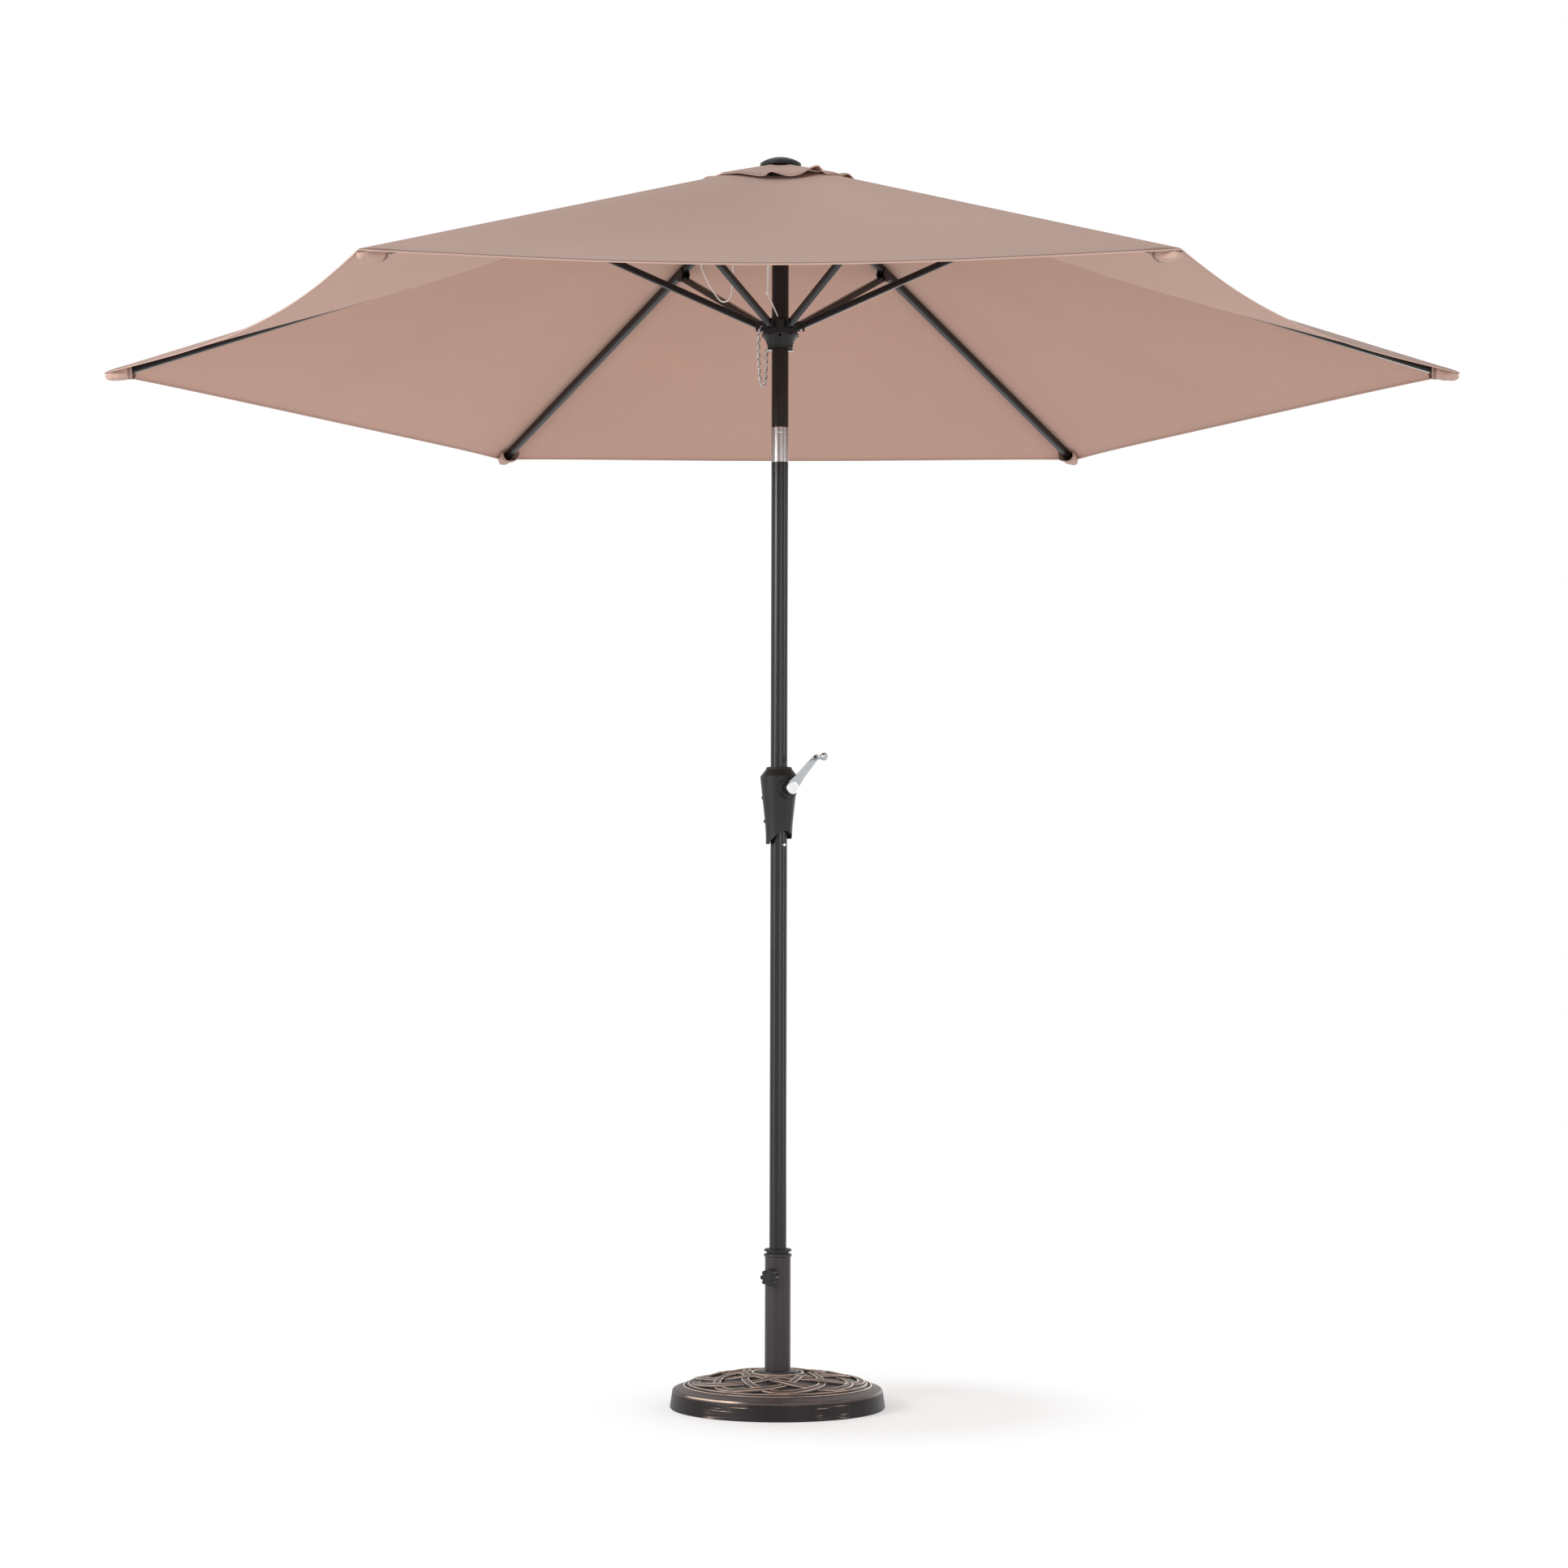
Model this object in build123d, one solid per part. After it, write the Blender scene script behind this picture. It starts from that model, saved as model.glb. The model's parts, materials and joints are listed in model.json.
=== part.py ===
from build123d import *

import os
from math import atan2, cos, degrees, radians, sin, tan

# Patio umbrella on a cast base. Millimetres, +Z up, origin on the floor under the pole.
# The flat side of the six-sided canopy faces -Y, and the ribs stand at 0, 60, 120 ... degrees.

# Canopy and folding frame
RIB_COUNT = 6
RIB_STEP = 360 / RIB_COUNT
CANOPY_RADIUS = 1360.0
RIM_HEIGHT = 2058.0
CLOTH = 1.0
CLOTH_ABOVE_RIB = 9.6
PANEL_GAP = 0.3
HEM_CUT = 60.0
HEM_SAG = 23.0
VENT_OPENING = 165.0
OPENING_SAG = 3.0
VENT_CAP_RADIUS = 205.0
VENT_CAP_TOP = 2473.0
VENT_CAP_RIM = 2419.5
VENT_CAP_SAG = 2.5
HUB_PIVOT_RADIUS = 34.0
HUB_PIVOT_HEIGHT = 2461.0
RIB_WIDTH = 14.0
RIB_HEIGHT = 17.0
RIB_WALL = 1.2
RIB_CORNER = 4.0
RIB_PLUG = 24.0
BLADE_WIDTH = 8.0
BLADE_HEIGHT = 13.0
BLADE_REACH = 20.0
TIP_LENGTH = 8.0
BRACKET_REACH = 412.0
BRACKET_DROP = 16.0
EAR_THICKNESS = 2.5
STRUT_WIDTH = 13.0
STRUT_HEIGHT = 13.0
STRUT_PIN_RADIUS = 2.5
SIDE_PLAY = 0.5
PIN_PLAY = 0.05
RUNNER_PIVOT_RADIUS = 42.0
RUNNER_PIVOT_HEIGHT = 2152.0

# Pole
POLE_RADIUS = 17.0
POLE_BORE = 15.7
POLE_FOOT = 18.0
POLE_SPLIT = 1120.0
JOINER_RADIUS = 15.6
JOINER_BORE = 14.4
JOINER_BOTTOM = 1040.0
JOINER_TOP = 1205.0
TOP_POLE_END = 2413.0

# Tilt joint
TILT_BOTTOM = 1877.0
TILT_TOP = 1947.0
TILT_PIVOT = 1910.0
TILT_LIMIT = 40.0
TONGUE_HALF = 5.0
TONGUE_RISE = 25.0
KNUCKLE_RADIUS = 13.0
TILT_GAP = 0.3
TILT_PIN_RADIUS = 4.0
TILT_BUTTON_RISE = 21.0
TILT_BUTTON_RADIUS = 3.0
TILT_BUTTON_REACH = 18.1

# Crank and lift cord
CORD_RADIUS = 1.5
CRANK_AZIMUTH = -60.0
CRANK_HEIGHT = 1223.0
SHAFT_RADIUS = 4.0
SPOOL_RADIUS = 7.0
WINDING_RADIUS = 9.2
CORD_LINE = 11.1
ARM_LENGTH = 84.0
ARM_RISE = 47.5
PULLEY_AZIMUTH = 218.0
PULLEY_HEIGHT = 2435.0
PULLEY_OFFSET = 6.5
PULLEY_CORD_RADIUS = 17.6

# Runner and its safety pin
RUNNER_BORE = 18.5
RUNNER_COLLAR = 34.8
RUNNER_TOP = 2166.0
FLARE_TOP = 2136.0
FLARE_BOTTOM = 2106.0
FLARE_RIM = 37.5
FLARE_NECK = 24.8
SAFETY_PIN_AZIMUTH = 195.0
SAFETY_PIN_RADIUS = 2.2
SAFETY_PIN_HALF = 28.3
SAFETY_PIN_HEIGHT = 2103.5

# Base
BASE_RADIUS = 212.5
BASE_SIDE = 33.0
BASE_CROWN = 66.0
TUBE_RADIUS = 25.4
TUBE_BORE = 23.9
TUBE_FOOT = 10.0
TUBE_TOP = 302.0
FLANGE_RADIUS = 41.0
CLAMP_AZIMUTH = 250.0
CLAMP_HEIGHT = 259.0
SCREW_RADIUS = 4.0
SNAP_AZIMUTH = 308.0
SNAP_HEIGHT = 1111.0
SNAP_RADIUS = 4.0

# Routes of the cord that hangs under the hub and of the safety pin's chain
SLACK_ROUTE = [
    (-22.9, -6.2, 2415), (-44, -13, 2411), (-66, -19, 2397), (-83, -24, 2368), (-91, -27, 2326),
    (-94.5, -28.5, 2279), (-95.2, -29, 2245), (-96, -29, 2221), (-98.6, -29, 2207), (-104.4, -29, 2198),
    (-113.4, -28.7, 2195.6), (-122, -28.2, 2200.4), (-133, -27.6, 2216), (-147, -26, 2239),
    (-158, -22.6, 2267), (-166, -18, 2303), (-172, -13.6, 2342), (-176, -10.6, 2377), (-178, -8.6, 2408),
]
CHAIN_ROUTE = [
    (-36.5, -10.0, 2151), (-36.5, -14.4, 2151), (-39.6, -16.6, 2146), (-42.6, -16.2, 2134),
    (-43.4, -15.4, 2109), (-42.4, -14.6, 2080), (-41.0, -14.0, 2055), (-39.2, -13.6, 2040.4),
    (-36.6, -13.2, 2032.0), (-32.0, -12.6, 2031.6), (-29.2, -11.8, 2040), (-28.2, -10.8, 2055),
    (-27.6, -9.6, 2078), (-27.3, -8.0, 2100.5),
]
CHAIN_RADIUS = 1.6

# Worked out from the sizes above
CLOTH_AT_HUB = HUB_PIVOT_HEIGHT + CLOTH_ABOVE_RIB
RIB_SLOPE = (CLOTH_AT_HUB - RIM_HEIGHT) / (CANOPY_RADIUS - HUB_PIVOT_RADIUS)
RIB_ANGLE = degrees(atan2(RIB_SLOPE, 1))
RIB_LENGTH = (CANOPY_RADIUS - HUB_PIVOT_RADIUS) / cos(radians(RIB_ANGLE)) - 8
RIB_DIRECTION = Vector(cos(radians(RIB_ANGLE)), 0, -sin(radians(RIB_ANGLE)))
RIB_NORMAL = Vector(sin(radians(RIB_ANGLE)), 0, cos(radians(RIB_ANGLE)))
HUB_PIVOT = Vector(HUB_PIVOT_RADIUS, 0, HUB_PIVOT_HEIGHT)
BRACKET_PIN = HUB_PIVOT + RIB_DIRECTION * BRACKET_REACH - RIB_NORMAL * BRACKET_DROP
RUNNER_PIN = Vector(RUNNER_PIVOT_RADIUS, 0, RUNNER_PIVOT_HEIGHT)
STRUT_LENGTH = (RUNNER_PIN - BRACKET_PIN).length

MIDDLE_MIDDLE_LOW = (Align.CENTER, Align.CENTER, Align.MIN)


def save(node, *solids):
    """Write the solids of one piece, or of a group of like pieces, to its own file."""
    shape = solids[0] if len(solids) == 1 else Compound(children=list(solids))
    export_step(shape, f"parts/{node}.step")


def upright(radius, bottom, top):
    """Round bar on the pole axis."""
    return Pos(0, 0, bottom) * Cylinder(radius, top - bottom, align=MIDDLE_MIDDLE_LOW)


def pipe(outer, inner, bottom, top):
    """Round tube on the pole axis."""
    return upright(outer, bottom, top) - upright(inner, bottom - 1, top + 1)


def rod(start, direction, radius, length):
    """Round bar from a point along a direction."""
    frame = Plane(origin=start, z_dir=direction)
    return frame * Cylinder(radius, length, align=MIDDLE_MIDDLE_LOW)


def compass(azimuth, height=0.0, reach=0.0):
    """Point at a reach from the pole axis, in the direction of an azimuth in degrees."""
    return Vector(reach * cos(radians(azimuth)), reach * sin(radians(azimuth)), height)


def outward(azimuth):
    """Level direction away from the pole axis."""
    return compass(azimuth, 0, 1)


def turned(edges):
    """Solid turned about the pole axis from a closed outline of (radius, height)."""
    return revolve(Plane.XZ * make_face(edges), Axis.Z)


def outline(*points):
    """Closed outline through corners."""
    return Polyline(*points, close=True).edges()


def bar(start, end, width, height, corner):
    """Bar of rounded rectangular section along X."""
    section = Plane.YZ * RectangleRounded(width, height, corner)
    return Pos(start, 0, 0) * extrude(section, end - start)


def cross_bar(radius, length):
    """Round bar along Y, centred on the origin."""
    return Rot(90, 0, 0) * Cylinder(radius, length)


def easy_radii(points):
    """Largest fillet at each corner of a route, as 0.45 of its shorter run allows."""
    radii = []
    for before, corner, after in zip(points, points[1:], points[2:]):
        turn = (corner - before).get_angle(after - corner)
        shorter = min((corner - before).length, (after - corner).length)
        radii.append(0.45 * shorter / tan(radians(turn / 2)))
    return radii


def routed(name, points, radius):
    """Tube along a route of straight runs joined by arcs as large as the runs allow."""
    route = [Vector(*point) for point in points]
    radii = easy_radii(route)
    path = FilletPolyline(*route, radius=radii)
    tube = swept(path, radius)
    print(name, "length", round(path.length, 1), "radii", [round(r, 1) for r in radii])
    return tube


def swept(path, radius):
    """Round tube along a path."""
    section = Plane(origin=path @ 0, z_dir=path % 0) * Circle(radius)
    return sweep(section, path=path)


# Base

def make_base():
    bore = TUBE_RADIUS + 0.6
    side_top = 208.0
    lip = 202.5
    lip_height = 38.0
    groove_outer = 184.0
    groove_top = 44.0
    groove_inner = 179.0
    groove_floor = 40.5
    dome_edge = 46.0
    crown_radius = 46.0
    edge = [
        Polyline((bore, 0), (BASE_RADIUS - 1.5, 0), (BASE_RADIUS, 2), (side_top, BASE_SIDE)),
        ThreePointArc((side_top, BASE_SIDE), (206.2, 36.4), (lip, lip_height)),
        Polyline((lip, lip_height), (groove_outer, groove_top), (groove_inner + 2, groove_floor),
                 (groove_inner, dome_edge)),
        ThreePointArc((groove_inner, dome_edge), (120.0, 58.5), (crown_radius, BASE_CROWN)),
        Polyline((crown_radius, BASE_CROWN), (bore, BASE_CROWN), (bore, 0)),
    ]
    disc = turned([piece for curve in edge for piece in curve.edges()])
    bolt_azimuths = (30, 150, 270)
    bolt_circle = 33.0
    bolt_radius = 3.0
    bolt_bite = 4.0
    head_radius = 6.0
    head_height = 5.0
    head_recess = 12.0
    up = (0, 0, 1)
    bolts = []
    for azimuth in bolt_azimuths:
        foot = compass(azimuth, 0, bolt_circle)
        head = compass(azimuth, head_recess - head_height, bolt_circle)
        disc -= rod(foot, up, head_radius + 1.5, head_recess)
        disc -= rod(foot, up, bolt_radius + 0.3, BASE_CROWN + 1)
        shank = rod(head, up, bolt_radius, BASE_CROWN + bolt_bite - head.Z)
        bolts.append(shank + rod(head, up, head_radius, head_height))
    save("base_disc", disc)
    save("base_bolts", *bolts)
    grip = TUBE_RADIUS + 0.05
    flange_side = 69.5
    flange_shoulder = (36.0, 73.5)
    flange = turned(
        Polyline((grip, BASE_CROWN), (FLANGE_RADIUS, BASE_CROWN), (FLANGE_RADIUS, flange_side)).edges()
        + ThreePointArc((FLANGE_RADIUS, flange_side), (39.5, 72.4), flange_shoulder).edges()
        + Polyline(flange_shoulder, (grip, 74.5), (grip, BASE_CROWN)).edges()
    )
    for azimuth in bolt_azimuths:
        thread = compass(azimuth, BASE_CROWN - 1, bolt_circle)
        flange -= rod(thread, up, bolt_radius + PIN_PLAY, bolt_bite + 1.1)
    save("tube_flange", flange)


def make_base_tube():
    bead_radius = 27.7
    bead_bottom = 296.0
    plate_top = 14.0
    bead_round = 2.4
    tube = pipe(TUBE_RADIUS, TUBE_BORE, TUBE_FOOT, TUBE_TOP) + upright(TUBE_RADIUS, TUBE_FOOT, plate_top)
    bead = pipe(bead_radius, TUBE_BORE, bead_bottom, TUBE_TOP)
    tube += fillet(bead.edges().filter_by(GeomType.CIRCLE).group_by(SortBy.RADIUS)[-1], bead_round)
    clamp = outward(CLAMP_AZIMUTH)
    inside = 15.0
    start = compass(CLAMP_AZIMUTH, CLAMP_HEIGHT, inside)
    tube -= rod(start, clamp, SCREW_RADIUS + 0.3, TUBE_RADIUS)
    save("base_tube", tube)
    nut_radius = 9.0
    nut_end = 34.0
    nut = rod(start, clamp, nut_radius, nut_end - inside)
    nut -= upright(TUBE_RADIUS + 0.02, CLAMP_HEIGHT - 2 * nut_radius, CLAMP_HEIGHT + 2 * nut_radius)
    nut -= rod(start, clamp, SCREW_RADIUS + PIN_PLAY, nut_end)
    save("clamp_nut", nut)


def make_tube_bushing():
    inside = POLE_RADIUS + 0.08
    sleeve = TUBE_BORE - 0.06
    neck = 22.2
    flange = 27.0
    bottom = 272.0
    neck_top = 306.5
    top = 312.0
    bushing = turned(outline(
        (inside, bottom), (sleeve - 1, bottom), (sleeve, bottom + 2), (sleeve, TUBE_TOP - 2),
        (neck, TUBE_TOP), (neck, neck_top), (flange, neck_top + 0.5), (flange, top - 1.5), (flange - 3, top),
        (inside, top)))
    save("tube_bushing", bushing)


def make_clamp():
    clamp = outward(CLAMP_AZIMUTH)
    tip = POLE_RADIUS + 0.35
    screw_end = 48.0
    screw = rod(compass(CLAMP_AZIMUTH, CLAMP_HEIGHT, tip), clamp, SCREW_RADIUS, screw_end - tip)
    save("clamp_screw", screw)
    lobes = 8
    lobe_radius = 4.6
    lobe_circle = 12.4
    knob_back = 36.0
    knob_front = 52.0
    disc_radius = 9.0
    disc_height = 1.6
    shape = Circle(lobe_circle)
    for index in range(lobes):
        shape += Rot(0, 0, 360 / lobes * index) * Pos(lobe_circle, 0) * Circle(lobe_radius)
    back = compass(CLAMP_AZIMUTH, CLAMP_HEIGHT, knob_back)
    knob = Plane(origin=back, z_dir=clamp) * extrude(shape, knob_front - knob_back)
    knob += rod(compass(CLAMP_AZIMUTH, CLAMP_HEIGHT, knob_front), clamp, disc_radius, disc_height)
    bore_depth = screw_end + 0.3 - knob_back
    knob -= rod(back, clamp, SCREW_RADIUS + PIN_PLAY, bore_depth)
    save("clamp_knob", knob)


# Pole

def make_pole():
    snap_hole = rod(compass(SNAP_AZIMUTH, SNAP_HEIGHT, 10), outward(SNAP_AZIMUTH), SNAP_RADIUS + 0.3, 12)
    lower = pipe(POLE_RADIUS, POLE_BORE, POLE_FOOT, POLE_SPLIT) - snap_hole
    save("lower_pole", lower)
    cap = upright(POLE_BORE - 0.1, POLE_FOOT, POLE_FOOT + 16)
    cap += upright(POLE_RADIUS, POLE_FOOT - 3.9, POLE_FOOT)
    save("pole_end_cap", cap)
    joiner = pipe(JOINER_RADIUS, JOINER_BORE, JOINER_BOTTOM, JOINER_TOP) - snap_hole
    save("pole_joiner", joiner)
    shaft_way = rod(compass(CRANK_AZIMUTH, CRANK_HEIGHT, -20), outward(CRANK_AZIMUTH), 6.0, 40)
    upper = pipe(POLE_RADIUS, POLE_BORE, POLE_SPLIT, TILT_BOTTOM) - shaft_way
    save("upper_pole", upper)
    pin_way = rod(compass(SAFETY_PIN_AZIMUTH, SAFETY_PIN_HEIGHT, -20), outward(SAFETY_PIN_AZIMUTH),
                  SAFETY_PIN_RADIUS + 0.1, 40)
    top = pipe(POLE_RADIUS, POLE_BORE, TILT_TOP, TOP_POLE_END) - pin_way
    save("top_pole", top)


def make_snap_button():
    back = 12.6
    end = 19.6
    crown = 2.5
    button = rod(compass(SNAP_AZIMUTH, SNAP_HEIGHT, back), outward(SNAP_AZIMUTH), SNAP_RADIUS, end - back)
    button = fillet(button.edges().sort_by(Axis((0, 0, 0), tuple(outward(SNAP_AZIMUTH))))[-1], crown)
    save("snap_button", button)
    leaf_half = 4.0
    leaf_front = back - 0.1
    leaf_back = -13.6
    gauge = 0.8
    pad = 7.0
    foot = -40.0
    leaf = make_face(outline(
        (leaf_back, foot), (leaf_back + gauge, foot), (leaf_front, -pad), (leaf_front, pad),
        (leaf_front - gauge, pad), (leaf_front - gauge, -pad + gauge / 3)))
    spring = extrude(Plane.XZ * leaf, leaf_half, both=True)
    save("snap_spring", Pos(0, 0, SNAP_HEIGHT) * Rot(0, 0, SNAP_AZIMUTH) * spring)


# Tilt joint

def knuckle_profile(*edges):
    """Face in the plane across the tilt axis, from (depth, height above the pivot)."""
    return Pos(0, 0, TILT_PIVOT) * (Plane.YZ * make_face(list(edges)))


def across(face, half):
    """The face made solid to both sides of the pole's middle plane."""
    return extrude(face, half, dir=(1, 0, 0), both=True)


def make_tilt_joint():
    spigot_radius = POLE_BORE - 0.1
    spigot_length = 28.0
    half_gap = TILT_GAP / 2
    slot_half = TONGUE_HALF + 0.15
    hinge = (0, 0, TILT_PIVOT)
    knuckle = Pos(*hinge) * (Rot(0, 90, 0) * Cylinder(KNUCKLE_RADIUS, 3 * POLE_RADIUS))
    pocket = Pos(*hinge) * (Rot(0, 90, 0) * Cylinder(KNUCKLE_RADIUS + TILT_GAP, 3 * POLE_RADIUS))
    pin_way = Pos(*hinge) * (Rot(0, 90, 0) * Cylinder(TILT_PIN_RADIUS + PIN_PLAY, 3 * POLE_RADIUS))
    cord_foot = compass(PULLEY_AZIMUTH + 180, TILT_BOTTOM - 40, CORD_LINE)
    cord_way = rod(cord_foot, (0, 0, 1), CORD_RADIUS + 1, 150)
    middle = Box(2 * TONGUE_HALF, 3 * POLE_RADIUS, 2 * TILT_TOP)
    slot = Box(2 * slot_half, 3 * POLE_RADIUS, 2 * TILT_TOP)
    barrel = upright(POLE_RADIUS, TILT_BOTTOM, TILT_TOP)

    button_way = Pos(*hinge) * (Rot(0, 90, 0) * Cylinder(TILT_BUTTON_RISE + 3.5, 3 * POLE_RADIUS))
    button_way -= Pos(*hinge) * (Rot(0, 90, 0) * Cylinder(TILT_BUTTON_RISE - 3.5, 4 * POLE_RADIUS))
    reach = 40.0
    fan_front = radians(15)
    fan_back = radians(TILT_LIMIT + 15)
    fan = across(knuckle_profile(*outline(
        (0, 0), (-reach * sin(fan_front), reach * cos(fan_front)), (0, reach * 1.2),
        (reach * sin(fan_back), reach * cos(fan_back)))), 2 * POLE_RADIUS)
    button_way = button_way & fan

    tongue_back = 6.0
    tongue = across(knuckle_profile(*outline(
        (-POLE_RADIUS, -20), (tongue_back, -20), (tongue_back, TONGUE_RISE), (-POLE_RADIUS, TONGUE_RISE))),
        TONGUE_HALF)
    tongue = (tongue + (knuckle & middle)) & barrel
    lower = upright(POLE_RADIUS, TILT_BOTTOM, TILT_PIVOT - half_gap) - pocket
    lower += (upright(POLE_RADIUS, TILT_BOTTOM, TILT_PIVOT - half_gap) & middle)
    lower = lower + tongue - button_way - pin_way
    lower = lower + upright(spigot_radius, TILT_BOTTOM - spigot_length, TILT_BOTTOM) - cord_way
    save("tilt_lower_knuckle", lower)

    wedge = radians(TILT_LIMIT + 2)
    relief = across(knuckle_profile(*outline(
        (0, half_gap), (0, -60), (30, -60), (30, 30 * tan(wedge)))), 2 * POLE_RADIUS)
    front_cut = Pos(0, -POLE_RADIUS, TILT_PIVOT + half_gap - 50) * Box(4 * POLE_RADIUS, 2 * POLE_RADIUS, 100)
    upper = barrel - relief - front_cut
    upper += knuckle & upright(POLE_RADIUS, TILT_BOTTOM, TILT_TOP)
    slot_top = TILT_PIVOT + TONGUE_RISE + 3
    upper -= slot & upright(2 * POLE_RADIUS, TILT_BOTTOM, slot_top)
    upper -= pin_way
    button = TILT_PIVOT + TILT_BUTTON_RISE
    upper -= Pos(0, 0, button) * (Rot(0, 90, 0) * Cylinder(TILT_BUTTON_RADIUS + PIN_PLAY, 3 * POLE_RADIUS))
    upper = upper + upright(spigot_radius, TILT_TOP, TILT_TOP + spigot_length) - cord_way
    save("tilt_upper_knuckle", upper)
    save("tilt_pin", Pos(*hinge) * (Rot(0, 90, 0) * Cylinder(TILT_PIN_RADIUS, 2 * 15.8)))
    plunger = Pos(0, 0, button) * (Rot(0, 90, 0) * Cylinder(TILT_BUTTON_RADIUS, 2 * TILT_BUTTON_REACH))
    save("tilt_button", fillet(plunger.edges().filter_by(GeomType.CIRCLE), 1.0))


# Crank

def crank_point(reach):
    return compass(CRANK_AZIMUTH, CRANK_HEIGHT, reach)


def make_crank():
    axis = outward(CRANK_AZIMUTH)
    shaft_back = -27.0
    arm_back = 42.0
    save("crank_shaft", rod(crank_point(shaft_back), axis, SHAFT_RADIUS, arm_back - shaft_back))
    drum_half = 9.8
    flange = 1.5
    flange_radius = 10.3
    spool = rod(crank_point(-drum_half), axis, SPOOL_RADIUS, 2 * drum_half)
    for side in (-drum_half - flange, drum_half):
        spool += rod(crank_point(side), axis, flange_radius, flange)
    spool -= rod(crank_point(-20), axis, SHAFT_RADIUS + 0.02, 40)
    save("crank_spool", spool)
    winding = rod(crank_point(-drum_half + 0.2), axis, WINDING_RADIUS, 2 * drum_half - 0.4)
    winding -= rod(crank_point(-20), axis, SPOOL_RADIUS + 0.02, 40)
    save("cord_winding", winding)
    bush_radius = 5.95
    bush_length = 4.4
    bushes = []
    for start in (-19.0, 14.6):
        bore = rod(crank_point(start), axis, SHAFT_RADIUS + 0.06, bush_length)
        bushes.append(rod(crank_point(start), axis, bush_radius, bush_length) - bore)
    save("shaft_bushes", *bushes)

    arm_front = 56.0
    plate_back = 45.0
    plate_front = 50.0
    hub_radius = 13.0
    end_radius = 5.5
    frame = Plane(origin=crank_point(0), x_dir=outward(CRANK_AZIMUTH + 90), z_dir=axis)
    waist = 0.45 * ARM_LENGTH
    lever = make_face(outline(
        (0, hub_radius), (waist, 7.5), (ARM_LENGTH, end_radius),
        (ARM_LENGTH, -end_radius), (waist, -7.5), (0, -hub_radius)))
    lever += Pos(ARM_LENGTH, 0) * Circle(end_radius)
    lever = Rot(0, 0, ARM_RISE) * lever
    arm = frame * (Pos(0, 0, plate_back) * extrude(lever, plate_front - plate_back))
    arm += rod(crank_point(arm_back), axis, hub_radius, arm_front - arm_back)
    rise = radians(ARM_RISE)
    knob_foot = frame * Pos(ARM_LENGTH * cos(rise), ARM_LENGTH * sin(rise), plate_front)
    knob_length = 38.0
    axle_radius = 2.5
    arm += knob_foot * Cylinder(axle_radius, knob_length - 3, align=MIDDLE_MIDDLE_LOW)
    save("crank_arm", arm)
    cap = rod(crank_point(arm_front), axis, hub_radius - 0.6, 2.0)
    save("crank_cap", fillet(cap.edges().sort_by(Axis((0, 0, 0), tuple(axis)))[-1], 1.4))

    knob = turned(
        Polyline((0, knob_length), (0, 0.4), (5.6, 0.4), (6.2, 2.0)).edges()
        + ThreePointArc((6.2, 2.0), (5.2, 12.0), (7.4, 28.0)).edges()
        + ThreePointArc((7.4, 28.0), (7.6, 34.0), (5.0, knob_length)).edges()
        + Line((5.0, knob_length), (0, knob_length)).edges()
    )
    knob -= upright(axle_radius + PIN_PLAY, -1, knob_length - 2.6)
    save("crank_knob", knob_foot * knob)


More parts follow.
